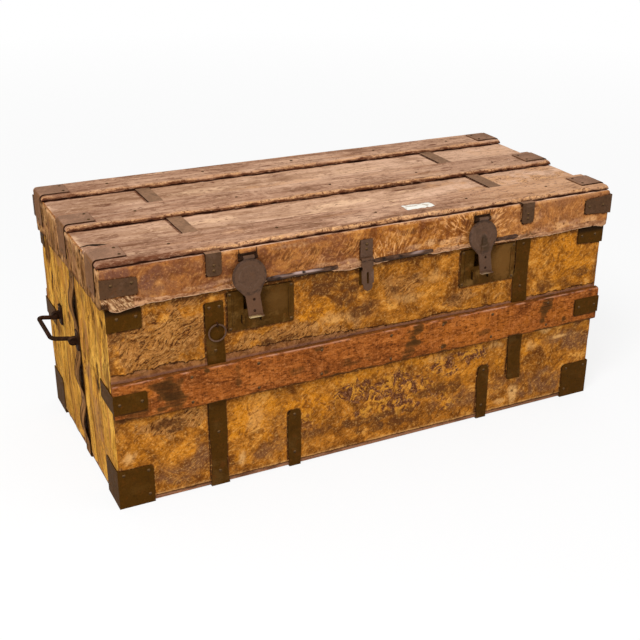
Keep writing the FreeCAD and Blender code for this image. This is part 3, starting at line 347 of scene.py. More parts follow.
def lid_front_hide():
    """Orange-brown hide combed with bright scratches that fan out, pinkish along the lip."""
    n = Nodes("lid_front_hide")
    dark, pale, scratched = n.marks()
    pink, fibrous, violet = n.marks("tones")
    mottle = n.noise(24.0, 8.0, 0.72, 0.8)
    middle = n.noise(70.0, 4.0, 0.68, 1.2)
    fine = n.noise(260.0, 3.0, 0.74)
    hair = n.streaks((52.0, 120.0, 240.0), 5.0, 0.68, 0.7, (0, -58, 0), n.swirled(10.0, 0.06))
    hasp_rays, hasp_share = n.rays((0.182, lid_low[1], 0.352), 0.11)
    clasp_rays, clasp_share = n.rays((0.02, lid_low[1], 0.310), 0.10)
    base = n.ramp(mottle, (0.38, (104, 54, 18)), (0.45, (134, 76, 28)), (0.5, (154, 92, 36)),
                  (0.56, (174, 108, 42)), (0.63, (198, 134, 66)))
    base = n.over(base, (middle, 0.53, 0.63, 0.55, (112, 64, 40)), (middle, 0.46, 0.36, 0.4, (194, 132, 62)))
    combed = n.band(scratched, -0.2, 0.8)
    base = n.over(
        base, (hair, 0.47, 0.38, 0.6, (104, 54, 22), combed), (hair, 0.54, 0.64, 0.7, (212, 148, 90), combed))
    for rays, share in ((hasp_rays, hasp_share), (clasp_rays, clasp_share)):
        base = n.over(
            base, (rays, 0.48, 0.38, 0.7, (108, 58, 24), share),
            (rays, 0.54, 0.62, 0.9, (230, 168, 106), share))
    base = n.over(
        base, (middle, 0.66, 0.46, 1, (216, 164, 112), pale, n.band(fine, 0.2, 0.55)),
        (mottle, 0.5, 0.42, 0.8, (150, 104, 82), pale), (middle, 0.68, 0.48, 0.92, (104, 62, 46), violet))
    base = n.over(
        base, (n.at["X"], 0.12, 0.3, 0.2, (214, 150, 98)),
        (n.at["X"], 0.0, -0.1, 0.22, (138, 96, 74)))
    upright = n.streaks((50.0, 50.0, 190.0), 4.0, 0.7, 0.5)
    lip = n.mix(n.band(upright, 0.42, 0.6), (136, 90, 60), (198, 148, 108))
    base = n.over(
        base, (pink, 0.2, 0.6, 0.85, lip),
        (pink, 0.8, 0.95, 0.75, (222, 178, 138), n.band(middle, 0.36, 0.5)))
    strands = n.streaks((80.0, 200.0, 380.0), 4.0, 0.66, 0.8, (0, 54, 0), n.swirled(30.0, 0.016))
    torn = n.ramp(strands, (0.4, (74, 42, 20)), (0.5, (138, 94, 60)), (0.6, (214, 174, 128)))
    base = n.over(base, (fibrous, 0.3, 0.6, 0.9, torn))
    base = n.grimed_and_shaded(base, dark, (98, 54, 26), (34, 18, 8), n.band(hair, 0.6, 0.42))
    base = n.over(base, (fine, 0.46, 0.33, 0.55, (88, 44, 14)), (fine, 0.56, 0.69, 0.35, (226, 166, 104)))
    return n.done(base, 0.0012, (hair, 0.8), (mottle, 0.9))


def weathered_wood(name, tones, line, left, right, slits=()):
    """Greyed wood with lengthwise grain, mottling, fine cracks and worn, crumbling patches.

    Left and right are the shares of the darkest tone at the left end and of the palest at the right.
    Each slit is a long black gap: its middle, its three reaches and its turn in degrees.
    """
    n = Nodes(name)
    dark, pale, worn = n.marks()
    grain = n.streaks((10.0, 150.0, 150.0), 6.0, 0.72, 0.4)
    broad = n.streaks((4.0, 24.0, 24.0), 5.0, 0.66, 0.9)
    speck = n.streaks((90.0, 240.0, 240.0), 4.0, 0.74, 0.5)
    patch = n.noise(24.0, 6.0, 0.7, 1.0)
    chips = n.noise(210.0, 4.0, 0.74, 0.8)
    base = n.ramp(broad, (0.34, tones[0]), (0.46, tones[1]), (0.62, tones[2]))
    base = n.over(
        base, (n.at["X"], 0.05, -0.4, left, tones[0]),
        (n.at["X"], 0.08, 0.38, right, tones[2]), (grain, 0.48, 0.36, 0.55, tones[0]),
        (grain, 0.54, 0.66, 0.5, tones[2]), (patch, 0.47, 0.36, 0.5, tones[0]),
        (patch, 0.55, 0.66, 0.45, tones[2]), (speck, 0.3, 0.55, 0.8, (204, 148, 98), worn),
        # On the slats the pale mask also holds a painted highlight along their front edges.
        (speck, 0.28, 0.6, 1, (234, 192, 154), pale), (speck, 0.46, 0.35, 0.7, line),
        (speck, 0.56, 0.68, 0.4, (230, 190, 158)))
    crumbs = n.band(worn, 0.45, 0.95)
    base = n.over(
        base, (chips, 0.48, 0.4, 0.85, (92, 50, 22), crumbs),
        (chips, 0.54, 0.62, 0.8, (228, 178, 122), crumbs))
    base = n.grimed_and_shaded(base, dark, (98, 56, 36), (40, 18, 8), n.band(speck, 0.85, 0.4))
    relief = [(grain, 0.9), (speck, 0.7), (chips, crumbs)]
    for slit in slits:
        inside = n.maths("MULTIPLY_ADD", chips, 0.5, n.spot(*slit))
        base = n.over(base, (inside, 1.45, 1.1, 1, (24, 12, 6)))
        relief.append((n.band(inside, 1.4, 1.0), -1))
    return n.done(base, 0.0013, *relief)


def red_slat_wood():
    """Reddish-brown wood with fine saw marks across it and dark blotches."""
    n = Nodes("red_slat_wood")
    dark, pale, worn = n.marks()
    grain = n.streaks((12.0, 130.0, 130.0), 6.0, 0.72)
    saw = n.streaks((300.0, 60.0, 34.0), 4.0, 0.7, 0.9)
    speck = n.streaks((150.0, 320.0, 320.0), 3.0, 0.74)
    mottle = n.streaks((14.0, 30.0, 30.0), 7.0, 0.72, 0.8)
    base = n.ramp(mottle, (0.37, (108, 56, 20)), (0.45, (128, 68, 25)), (0.5, (142, 77, 29)),
                  (0.56, (156, 86, 32)), (0.64, (178, 106, 48)))
    base = n.mix(n.times(worn, 0.75), base, (182, 104, 30))
    base = n.over(
        base, (grain, 0.47, 0.35, 0.5, (92, 44, 14)), (grain, 0.57, 0.7, 0.3, (186, 120, 64)),
        (saw, 0.55, 0.66, 0.25, (196, 126, 72)), (saw, 0.46, 0.36, 0.4, (84, 40, 14)),
        (speck, 0.47, 0.37, 0.75, (70, 32, 10)), (speck, 0.55, 0.65, 0.5, (204, 130, 70)),
        # The pale mask is a painted highlight along the bars' upper edges.
        (grain, 0.25, 0.55, 0.75, (196, 148, 122), pale))
    base = n.grimed_and_shaded(base, dark, (76, 48, 20), (30, 16, 6), n.band(grain, 0.9, 0.35))
    return n.done(base, 0.0012, (grain, 1), (saw, 0.7))


def plain_wood(name, tone, shade, along=0, plank=0.112):
    """Bare planks, seen inside the trunk and along its bottom: grain along one axis, joints and stains."""
    n = Nodes(name)

    def drawn(low, high, *rest):
        """Streaks along the grain."""
        return n.streaks([low if axis == along else high for axis in range(3)], *rest)

    grain = drawn(5.0, 110.0, 6.0, 0.7, 0.7)
    fibre = drawn(26.0, 420.0, 4.0, 0.7)
    broad = drawn(2.6, 15.0, 5.0, 0.66, 0.9)
    stain = n.noise(14.0, 6.0, 0.68, 0.6)
    speck = n.noise(240.0, 3.0, 0.74)
    pale = dimmed(tone, 1.35)
    base = n.ramp(broad, (0.36, dimmed(tone, 0.62)), (0.5, dimmed(tone, 0.86)), (0.64, tone))
    base = n.over(
        base, (grain, 0.49, 0.37, 0.6, shade), (grain, 0.55, 0.68, 0.4, pale),
        (fibre, 0.47, 0.37, 0.7, dimmed(shade, 0.7)), (fibre, 0.56, 0.68, 0.35, pale),
        (stain, 0.54, 0.66, 0.5, dimmed(shade, 0.8)), (speck, 0.42, 0.33, 0.5, dimmed(shade, 0.6)))
    level = n.band(n.maths("ABSOLUTE", n.normal["Z"]), 0.4, 0.6)
    joints = []
    for axis, share in (("Y", level), ("Z", n.maths("SUBTRACT", 1.0, level))):
        turn = n.maths("FRACT", n.maths("MULTIPLY_ADD", n.at[axis], 1 / plank, 0.4))
        from_joint = n.maths("ABSOLUTE", n.maths("SUBTRACT", turn, 0.5))
        joints.append(n.times(n.band(from_joint, 0.013, 0.006), share))
    joint = n.maths("ADD", *joints)
    base = n.mix(n.times(joint, 0.9), base, dimmed(shade, 0.25))
    return n.done(base, 0.0012, (grain, 0.8), (fibre, 0.5), (joint, -1))


def iron(name, tone, rubbed, rust, roughness=0.65, specular=0.06, wear=0.5, edge=None, stains=(), arcs_and_rim_shade=(),
         top=None, shaded=None):
    """Old sheet iron: uneven brown, rust, rubbed patches, and edges that may be darker with painted shade.

    The edge is an axis letter and the range of the normal on that axis from plain to dark: painted shade on
    the faces turned that way.
    The top is the tone of dust on the faces that look up, and above the shaded height the iron carries a
    painted shadow.
    """
    n = Nodes(name, roughness, specular)
    broad = n.noise(30.0, 4.0, 0.62, 0.4)
    middle = n.noise(90.0, 4.0, 0.7, 0.6)
    fine = n.noise(300.0, 4.0, 0.72)
    base = n.mix(n.band(broad, 0.52, 0.68, wear), tone, rubbed)
    base = n.over(
        base, (middle, 0.54, 0.66, 0.55, rust), (middle, 0.46, 0.34, 0.45, dimmed(tone, 0.55)),
        (fine, 0.46, 0.32, 0.55, dimmed(tone, 0.4)), (fine, 0.56, 0.7, 0.3, rubbed))
    if top:
        dusty = n.mix(n.band(broad, 0.45, 0.62), top, dimmed(top, 1.3))
        dusty = n.mix(n.band(fine, 0.5, 0.34, 0.6), dusty, dimmed(top, 0.45))
        base = n.over(base, (n.normal["Z"], 0.5, 0.85, 1, dusty))
    for middle_point, reach, stain in stains:
        ragged = n.maths("MULTIPLY_ADD", middle, 1.6, n.maths("SUBTRACT", n.spot(middle_point, reach), 0.8))
        base = n.over(base, (ragged, 1.15, 0.6, 0.75, stain))
    # Rings of a tone: faint arcs, or painted shade round a disc's rim.
    for middle_point, reach, low, high, ring in arcs_and_rim_shade:
        away = n.spot(middle_point, reach)
        arc = n.times(n.band(away, low - 0.05, low), n.band(away, high + 0.05, high))
        base = n.over(base, (middle, 0.4, 0.6, 0.6, ring, arc))
    # Painted shade on the faces turned along the edge's axis.
    if edge:
        axis, low, high = edge
        base = n.over(base, (n.normal[axis], low, high, 0.85, (26, 14, 6)))
    # Painted shadow of the lid's lip above the shaded height.
    if shaded:
        base = n.over(base, (n.at["Z"], shaded, shaded + 0.008, 0.8, (26, 14, 4)))
    return n.done(base, 0.0008, (fine, 0.5), (broad, 0.9))


def nail_iron():
    """Dark domed heads with a painted highlight where they face up on an upright side."""
    n = Nodes("nail_iron", 0.6, 0.08)
    fine = n.noise(420.0, 3.0, 0.7)
    base = n.mix(n.band(fine, 0.42, 0.62), (44, 27, 9), (84, 58, 28))
    # Painted highlight on the upper part of each dome.
    glint = n.times(n.band(n.normal["Z"], 0.1, 0.36), n.band(n.normal["Z"], 0.74, 0.68), 0.7)
    base = n.mix(glint, base, (112, 84, 54))
    return n.done(base, 0.0003, (fine, 1))


def paper():
    """Stained, yellowed paper."""
    n = Nodes("paper", 0.85, 0.2)
    stain = n.noise(70.0, 4.0, 0.7, 0.5)
    base = n.mix(n.band(stain, 0.5, 0.62, 0.8), (236, 232, 222), (178, 160, 138))
    return n.done(base, 0.0001, (n.noise(400.0, 2.0), 1))


CASE_HIDE = case_front_hide()
CASE_END = end_hide("case_end_hide", (206, 145, 52), (234, 178, 78), (162, 108, 40),
                    (92, 54, 18), (176, 112, 54))
LID_END = end_hide("lid_end_hide", (160, 112, 62), (206, 154, 100), (108, 68, 36),
                   (62, 34, 16), (150, 96, 66))
LID_FRONT = lid_front_hide()
PANEL_WOOD = weathered_wood("lid_panel", ((144, 105, 78), (190, 148, 117), (220, 178, 148)),
                            (116, 75, 52), 0.4, 0.7,
                            [((-0.4200, -0.0948, 0.394), (0.0180, 0.0038, 1.0), -22.6),
                             ((-0.4380, -0.0908, 0.394), (0.0120, 0.0018, 1.0), 12.0)])
SLAT_WOOD = weathered_wood("lid_slat", ((122, 84, 60), (172, 129, 102), (208, 166, 136)),
                           (88, 52, 34), 0.25, 0.3)
RED_WOOD = red_slat_wood()
BOARD_WOOD = plain_wood("inner_boards", (190, 146, 98), (120, 82, 48))
END_WOOD = plain_wood("inner_end_boards", (190, 146, 98), (120, 82, 48), 1)
BASE_WOOD = plain_wood("bottom_boards", (164, 114, 82), (92, 56, 34))
# On the dark iron, a painted shadow of the lid's lip darkens the tops of the case's corner plates above
# 0.318.
DARK_IRON = iron("dark_iron", (70, 42, 3), (86, 56, 16), (90, 50, 8), specular=0.04, shaded=0.318)
# The edge settings paint shade on the sides that face left, or on the clamps the sides that face the front.
STRAP_IRON = iron("strap_iron", (70, 42, 4), (92, 64, 28), (90, 50, 12), specular=0.04,
                  edge=("X", -0.4, -0.8))
LOCK_IRON = iron("lock_iron", (74, 46, 8), (108, 76, 34), (100, 58, 18), specular=0.05,
                 wear=0.9, edge=("X", -0.4, -0.8),
                 stains=[((0.232, MID_Y, 0.296), (0.026, 1.0, 0.034), (112, 75, 32)),
                         ((-0.180, MID_Y, 0.303), (0.020, 1.0, 0.024), (90, 59, 22))])
CORNER_IRON = iron("corner_iron", (82, 56, 36), (104, 76, 58), (90, 54, 28))
CLAMP_IRON = iron("clamp_iron", (118, 80, 50), (144, 106, 76), (96, 60, 34),
                  0.8, edge=("Y", -0.4, -0.8), top=(134, 100, 78))
LID_STRAP_IRON = iron("lid_strap_iron", (80, 56, 37), (104, 78, 60), (86, 54, 32),
                      edge=("X", -0.4, -0.8), top=(126, 94, 70))
# Arcs on the hasp discs: the dark ring at each rim is painted shade round the disc's edge, and the two inner
# ones are faint arcs.
DISC_ARCS_AND_RIM_SHADE = [(place, (0.027, 1.0, 0.027), low, high, tone)
              for place in ((-0.2292, MID_Y, 0.3525), (0.182, MID_Y, 0.3525))
              for low, high, tone in ((0.93, 1.06, (40, 26, 16)), (0.62, 0.66, (98, 74, 58)),
                                      (0.44, 0.47, (76, 52, 38)))]
HASP_IRON = iron("hasp_iron", (86, 60, 42), (104, 78, 64), (88, 56, 34), 0.5, 0.15, 0.7,
                 stains=[((0.1835, MID_Y, 0.344), (0.007, 1.0, 0.016), (50, 34, 14)),
                         ((0.1855, MID_Y, 0.335), (0.010, 1.0, 0.010), (60, 40, 16)),
                         ((-0.224, MID_Y, 0.304), (0.020, 1.0, 0.026), (96, 64, 42)),
                         # The two pale lines at the tongues' lower ends are painted highlights.
                         ((-0.2265, MID_Y, 0.2895), (0.016, 1.0, 0.0026), (196, 170, 120)),
                         ((0.1820, MID_Y, 0.2895), (0.016, 1.0, 0.0022), (150, 124, 92))],
                 arcs_and_rim_shade=DISC_ARCS_AND_RIM_SHADE)
BLACK_IRON = iron("black_iron", (42, 26, 16), (88, 62, 44), (62, 36, 20), 0.7, 0.03, 0.7)
NAIL_IRON = nail_iron()
PAPER = paper()


# Meshes

def paint(mesh, name, masks):
    """Three masks from 0 to 1 for every point, kept on the mesh under a name."""
    layer = mesh.attributes.new(name, "FLOAT_COLOR", "POINT")
    layer.data.foreach_set("color", np.column_stack([masks, np.ones(len(masks))]).astype(np.float32).ravel())


def placed(name, data):
    """A new object in the scene."""
    made = bpy.data.objects.new(name, data)
    bpy.context.scene.collection.objects.link(made)
    return made


def build(name, points, faces, materials, body, slots=None, marks=None, tones=None):
    """A smooth mesh object from arrays of points and faces, riding on a body."""
    mesh = bpy.data.meshes.new(name)
    mesh.from_pydata(points.tolist(), [], faces)
    for material in materials:
        mesh.materials.append(material)
    if slots is not None:
        mesh.polygons.foreach_set("material_index", slots)
    for layer, masks in (("marks", marks), ("tones", tones)):
        if masks is not None:
            paint(mesh, layer, masks)
    mesh.polygons.foreach_set("use_smooth", [True] * len(mesh.polygons))
    mesh.update()
    piece = placed(name, mesh)
    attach(piece, body)
    return piece


def spaced(start, end, step):
    """Evenly spaced values from start to end."""
    return np.linspace(start, end, max(2, int(round(abs(end - start) / step)) + 1))


def rounded_loop(low, high, radii, steps, arc=4):
    """Points and outward normals round a rectangle with rounded corners, anticlockwise."""
    corners = [(low[0], low[1]), (high[0], low[1]), (high[0], high[1]), (low[0], high[1])]
    turns = [math.pi, 1.5 * math.pi, 0.0, 0.5 * math.pi]
    inward = [(1, 1), (-1, 1), (-1, -1), (1, -1)]
    points, normals = [], []
    for index in range(4):
        radius = radii[index]
        middle = np.array(corners[index]) + np.array(inward[index]) * radius
        for angle in np.linspace(turns[index], turns[index] + math.pi / 2, arc + 1):
            normal = np.array([math.cos(angle), math.sin(angle)])
            points.append(middle + normal * radius)
            normals.append(normal)
        following = (index + 1) % 4
        end = np.array(corners[following]) + np.array(inward[following]) * radii[following]
        end = end + normals[-1] * radii[following]
        start = points[-1]
        for share in spaced(0, 1, steps[index] / max(1e-6, np.linalg.norm(end - start)))[1:-1]:
            points.append(start + (end - start) * share)
            normals.append(normals[-1])
    return np.array(points), np.array(normals)


def loop_faces(rows, around, closed=True):
    """Quads between rows of points that run round in loops."""
    faces = []
    for row in range(rows - 1):
        for column in range(around if closed else around - 1):
            after = (column + 1) % around
            faces.append((row * around + column, row * around + after,
                          (row + 1) * around + after, (row + 1) * around + column))
    return faces


def thicken(piece, thickness):
    """Give a skin its thickness, inward."""
    modifier = piece.modifiers.new("thickness", "SOLIDIFY")
    modifier.thickness = thickness
    modifier.offset = -1.0
    return piece


JOINING = 0.02 * MM


def join_points(piece):
    """Make one point of those that lie in one place, so that faces share their edges."""
    piece.modifiers.new("joined", "WELD").merge_threshold = JOINING


def soften(piece, width):
    """Round a piece's sharp edges by some millimetres."""
    join_points(piece)
    modifier = piece.modifiers.new("soft_edges", "BEVEL")
    modifier.width = width * MM
    modifier.segments = 2
    modifier.limit_method = "ANGLE"
    modifier.angle_limit = math.radians(40)
    return piece


def reshaped(node, body, mesh, material, softness):
    """Put a changed mesh in the place of a CAD piece of iron."""
    mesh.materials.clear()
    mesh.materials.append(material)
    piece = placed("worn_" + node, mesh)
    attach(piece, body)
    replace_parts(soften(piece, softness), node)


def bar(loop, normals, stations, start=0):
    """The points, outward normals and faces of a bar along X, its points numbered from a start."""
    rows, around = len(stations), len(loop)
    points = np.column_stack([np.repeat(stations, around), np.tile(loop, (rows, 1))])
    outward = np.column_stack([np.zeros(len(points)), np.tile(normals, (rows, 1))])
    ends = [tuple(range(around))[::-1], tuple(range((rows - 1) * around, rows * around))]
    faces = [tuple(start + corner for corner in face) for face in loop_faces(rows, around) + ends]
    return points, outward, faces


def swept(name, loop, normals, stations, materials, body, bend, painter):
    """A bar along X with a given outline; bend moves its points and painter gives its marks."""
    points, outward, faces = bar(loop, normals, stations)
    return build(name, bend(points, outward), faces, materials, body, None, painter(points, outward))


def near(points, axes, first, second, soft):
    """1 inside a rectangle of two axes and 0 a little way outside it."""
    result = 1.0
    for axis, (low, high) in zip(axes, (first, second)):
        inside = smooth(points[:, axis], low - soft, low) * smooth(-points[:, axis], -high - soft, -high)
        result = result * inside
    return result


# Changed meshes of CAD pieces, whose edges the painted shade and grime follow
RESHAPED = {}


def grime_and_edge_shade(points, nodes, reach, shift=(0.9 * MM, 0, 0.7 * MM)):
    """Painted shade and grime: 1 at the edges of the named pieces and 0 a reach away, more to their left and
    below, on the side where shade falls.
    """
    found = []
    for node in nodes:
        mesh = RESHAPED.get(node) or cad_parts[node].data
        corners = np.empty(len(mesh.vertices) * 3)
        mesh.vertices.foreach_get("co", corners)
        pairs = np.empty(len(mesh.edges) * 2, dtype=np.int32)
        mesh.edges.foreach_get("vertices", pairs)
        start, end = corners.reshape(-1, 3)[pairs.reshape(-1, 2)].transpose(1, 0, 2)
        count = np.ceil(np.linalg.norm(end - start, axis=1) / (1.5 * MM)).astype(int) + 1
        share = np.concatenate([np.linspace(0, 1, steps) for steps in count])
        found.append(np.repeat(start, count, axis=0) * (1 - share[:, None])
                     + np.repeat(end, count, axis=0) * share[:, None])
    cells = np.unique(np.round(np.vstack(found) / MM).astype(np.int64), axis=0) * MM
    tree = KDTree(len(cells))
    for index, cell in enumerate(cells.tolist()):
        tree.insert(cell, index)
    tree.balance()
    far = np.array([tree.find(point)[2] for point in (points + np.array(shift)).tolist()])
    return smooth(reach - far, 0, reach * 0.8)


# Case

CASE_IRONS = ["left_strap", "right_strap_front", "right_strap_rear", "short_straps", "lock_plate_left",
              "lock_plate_right", "case_corner_plates", "bottom_corner_caps", "case_slat_clamps",
              "right_side_strap", "handle_eyes_left", "handle_eyes_right", "hinge_body_leaves"]
HIDE_FOOT = 8.5 * MM

# Spots: the middle's X or Y and its Z, the two half-widths and the amount
DARK_FRONT = [
    (-62, 276, 30, 18, 0.62), (-34, 256, 18, 14, 0.6), (-44, 300, 18, 22, 0.66), (-92, 306, 54, 12, 0.6),
    (-85, 324, 56, 10, 0.7), (20, 34, 70, 10, 0.6), (-190, 232, 40, 6, 0.5), (-366, 130, 36, 11, 0.62),
    (-350, 118, 22, 7, 0.7), (-255, 228, 20, 10, 0.5), (-432, 290, 12, 30, 0.5), (30, 282, 12, 10, 0.5),
    (60, 298, 14, 6, 0.5), (140, 245, 30, 8, 0.5), (330, 236, 34, 12, 0.5), (405, 246, 24, 10, 0.6),
    (-130, 50, 60, 12, 0.5), (-20, 52, 70, 10, 0.7), (120, 78, 50, 12, 0.5), (-218, 262, 8, 3, 0.8)]
PALE_FRONT = [
    (-222, 104, 14, 26, 0.4), (-244, 34, 6, 15, 0.9), (310, 124, 14, 12, 0.6), (-423, 86, 12, 10, 0.9),
    (-88, 250, 40, 11, 0.5), (50, 262, 30, 10, 0.4), (279, 36, 13, 20, 1), (335, 153, 18, 10, 0.9),
    (380, 128, 22, 4, 1), (120, 140, 20, 10, 0.5), (232, 140, 16, 12, 0.6), (252, 24, 12, 5, 0.6),
    (100, 290, 20, 14, 0.4)]
FLAKED_FRONT = [
    (-365, 275, 85, 52, 1), (-190, 240, 70, 18, 0.8), (-360, 130, 70, 20, 1), (-130, 236, 36, 14, 0.9),
    (40, 285, 60, 22, 0.5), (-85, 225, 50, 14, 0.7), (160, 242, 60, 14, 0.6), (-180, 90, 50, 30, 0.3)]
PURPLE_FRONT = [
    (-50, 110, 40, 30, 0.7), (30, 100, 60, 34, 0.9), (-40, 70, 50, 14, 0.9), (60, 66, 60, 14, 1),
    (140, 122, 40, 18, 0.7), (190, 132, 30, 14, 0.6), (120, 50, 50, 12, 0.5), (-145, 80, 30, 20, 0.4)]
GREY_FRONT = [
    (-322, 48, 32, 32, 1), (-205, 40, 30, 14, 0.8), (-364, 37, 30, 18, 0.9), (-130, 52, 60, 12, 0.7),
    (180, 50, 50, 20, 0.7), (245, 60, 20, 22, 0.8), (330, 42, 54, 26, 1), (350, 122, 38, 18, 0.9),
    (405, 114, 34, 36, 1), (415, 148, 20, 10, 0.8), (-40, 255, 30, 20, 0.5), (-400, 30, 30, 10, 0.4)]
YELLOW_FRONT = [
    (-200, 98, 60, 42, 1), (-410, 92, 28, 30, 0.6), (-330, 80, 40, 16, 0.7), (-120, 100, 30, 34, 0.8),
    (170, 100, 50, 22, 0.6), (90, 142, 40, 10, 0.7), (330, 158, 24, 10, 0.9), (380, 280, 60, 50, 0.7),
    (100, 270, 40, 26, 0.4), (350, 72, 50, 10, 0.5), (-60, 140, 60, 10, 0.7), (-112, 264, 36, 18, 1),
    (-244, 40, 12, 20, 0.9), (310, 122, 20, 16, 1), (250, 104, 18, 14, 0.8), (-124, 108, 30, 20, 1),
    (126, 56, 20, 10, 0.7)]
DARK_END = [
    (-115, 178, 9, 18, 0.9), (160, 302, 22, 26, 0.6), (-166, 300, 4, 10, 1), (-124, 296, 3, 11, 1),
    (-78, 292, 3, 10, 0.9), (-96, 282, 3, 7, 0.9), (150, 262, 5, 11, 1), (136, 170, 22, 18, 0.5),
    (40, 228, 16, 8, 0.7), (176, 140, 10, 30, 0.5), (-150, 180, 6, 10, 0.8), (-60, 300, 10, 20, 0.5),
    (-178, 272, 16, 40, 0.34), (-176, 215, 18, 40, 0.42), (-135, 276, 22, 26, 0.26)]
LILAC_END = [
    (-62, 158, 20, 34, 1), (-100, 105, 22, 44, 0.9), (-60, 255, 16, 40, 0.7), (-140, 60, 20, 30, 0.5),
    (30, 275, 14, 24, 0.6), (90, 315, 40, 10, 0.7)]


# Irons and slats on the ends: their range of Y about the middle and their range of Z
FIXED_AT = [
    (-36, 12, 0, 341), (-200, -120, 160, 206), (120, 200, 160, 206), (-200, -125, 0, 75), (125, 205, 0, 75),
    (82, 118, 185, 232), (-30, 10, 185, 232), (-200, -166, 296, 341), (166, 205, 296, 341)]
SCREW_HOLE = [(279, 38.5, 3.4, 3.4, 1)]
CASE_STEP, CASE_ROUND, CASE_SKIN = 2.3 * MM, 4 * MM, 1.6 * MM
GRIME_AND_SHADE_REACH = 3.2 * MM


def case_marks(points, is_end, front):
    """The case hide's masks: dark, pale, and flaked on the front or lilac on the ends."""
    height = points[:, 2]
    low = smooth(0.030 - height + 0.02 * noise(points, 0.05, 9, 3), 0, 0.03)
    edge = smooth(np.abs(points[:, 0]), case_high[0] - 0.014, case_high[0] - 0.002)
    # Painted shade along the slat's lower and upper edges.
    slat_edge_shade = [smooth(reach - np.abs(height - level), 0, reach * 0.75)
             for level, reach in ((slat_low[2], 0.008), (slat_high[2], 0.003))]
    # Besides stains and grime, the dark mask holds painted shade under the lid's lip from 0.320 up, along the
    # slat, round the irons and beside the end strap.
    dark = most(spots_by(is_end, points, ((1, 2), DARK_END, 3, 0.4), ((0, 2), DARK_FRONT, 4, 0.9)),
                low * np.where(is_end, 0.2, 0.35), smooth(height, 0.320, 0.334) * 0.9,
                np.where(is_end, 0, edge * 0.6 * smooth(noise(points, 0.03, 12, 2), -0.3, 0.4)),
                np.where(is_end, 0, most(*slat_edge_shade) * 0.8), grime_and_edge_shade(points, CASE_IRONS, GRIME_AND_SHADE_REACH),
                0.8 * side_strap_shade(points) * is_end)
    foot_line = (smooth(-height, -HIDE_FOOT - 0.0052, -HIDE_FOOT - 0.0026)
                 * smooth(height, HIDE_FOOT + 0.0012, HIDE_FOOT + 0.0026))
    pale = most(np.where(is_end, 0, spots(points, (0, 2), PALE_FRONT, 5, 0.8)),
                foot_line * smooth(noise(points, 0.03, 13, 2), -0.6, 0.1) * 0.9)
    dark = most(np.where(foot_line > 0.4, 0.2, dark), smooth(-height, -HIDE_FOOT - 0.0016, -HIDE_FOOT),
                np.where(front, spots(points, (0, 2), SCREW_HOLE, 1, 0), 0))
    third = spots_by(is_end, points, ((1, 2), LILAC_END, 8, 0.8), ((0, 2), FLAKED_FRONT, 6, 0.9))
    return dark, pale, third


def case_hide():
    """The case's cover: a skin round four sides, pitted, wavy and open at the locks."""
    loop, outward = rounded_loop(case_low[:2], case_high[:2], (CASE_ROUND,) * 4,
                                 (CASE_STEP, 3.2 * MM, 6 * MM, 3.2 * MM))
    heights = spaced(HIDE_FOOT, case_high[2], CASE_STEP)
    around, rows = len(loop), len(heights)
    points = np.column_stack([np.tile(loop, (rows, 1)), np.repeat(heights, around)])
    normals = np.column_stack([np.tile(outward, (rows, 1)), np.zeros(len(points))])
    is_end = np.abs(normals[:, 0]) > 0.75
    front = normals[:, 1] < -0.5
    dark, pale, third = case_marks(points, is_end, front)
    tones = np.column_stack([np.where(front, spots(points, (0, 2), places, seed, 1.0, 0.022), 0)
                             for places, seed in ((PURPLE_FRONT, 14), (GREY_FRONT, 15), (YELLOW_FRONT, 16))])
    free = free_of_irons(points, is_end)
    lumps = noise(points, 0.09, 21, 3) * 0.5 * MM
    grain = noise(points, (0.03, 0.022, 0.13), 22, 3) * 1.8 * MM
    pits = noise(points, 0.007, 23, 2) * 0.2 * MM
    hollows = 1.5 * MM * spots(points, (1, 2), DARK_END[2:6], 3, 0.3)
    flake = smooth(noise(points, (0.011, 0.011, 0.006), 24, 2), -0.1, 0.2) * 0.8 * MM - 0.4 * MM
    push = pits + np.where(is_end, grain - hollows, lumps + flake * third)
    push = np.clip(push, -1.7 * MM, np.where(is_end, 0.4 * MM + 2.2 * MM * free, 0.5 * MM + 0.5 * MM * free))
    moved = points + normals * push[:, None]
    moved[:, 2] -= (smooth(-points[:, 2], -HIDE_FOOT - 0.004, -HIDE_FOOT)
                    * noise(points, 0.03, 25, 2) * 0.9 * MM)
    faces = loop_faces(rows, around)
    centres = points[np.array(faces)[:, 0]]
    open_at = np.zeros(len(faces), bool)
    for name in ("lock_case_left", "lock_case_right"):
        low, high = np.array(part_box(name))
        inside = (centres > low - 3 * MM) & (centres < high)
        open_at |= inside[:, 0] & inside[:, 2] & (centres[:, 1] < MID_Y - 0.1)
    kept = [face for face, gone in zip(faces, open_at) if not gone]
    slots = is_end[np.array(kept)[:, 0]].astype(int)
    piece = build("case_cover", moved, kept, (CASE_HIDE, CASE_END), "case", slots,
                  np.column_stack([dark, pale, third]), tones)
    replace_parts(thicken(piece, CASE_SKIN), "case_hide")


def free_of_irons(points, is_end):
    """1 where nothing is fixed on the hide and 0 under the irons and slats."""
    covered = [near(points, (1, 2), (low + MID_Y, high + MID_Y), (bottom, top), 12 * MM)
               for low, high, bottom, top in np.array(FIXED_AT) * MM]
    return np.where(is_end, 1 - most(*covered), 1.0)


# The strap on the left end, which stands off in three places and wanders to the front low down

BULGES = [(26, 97, 5), (110, 186, 6), (232, 309, 4.5)]
strap_low, strap_high = np.array(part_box("left_side_strap"))


def strap_bulge(height):
    """How far the left end's strap stands off the hide at a height."""
    return most(*(far * np.sin(math.pi * np.clip((height - low) / (high - low), 0, 1)) ** 1.5
                  for low, high, far in np.array(BULGES) * MM))


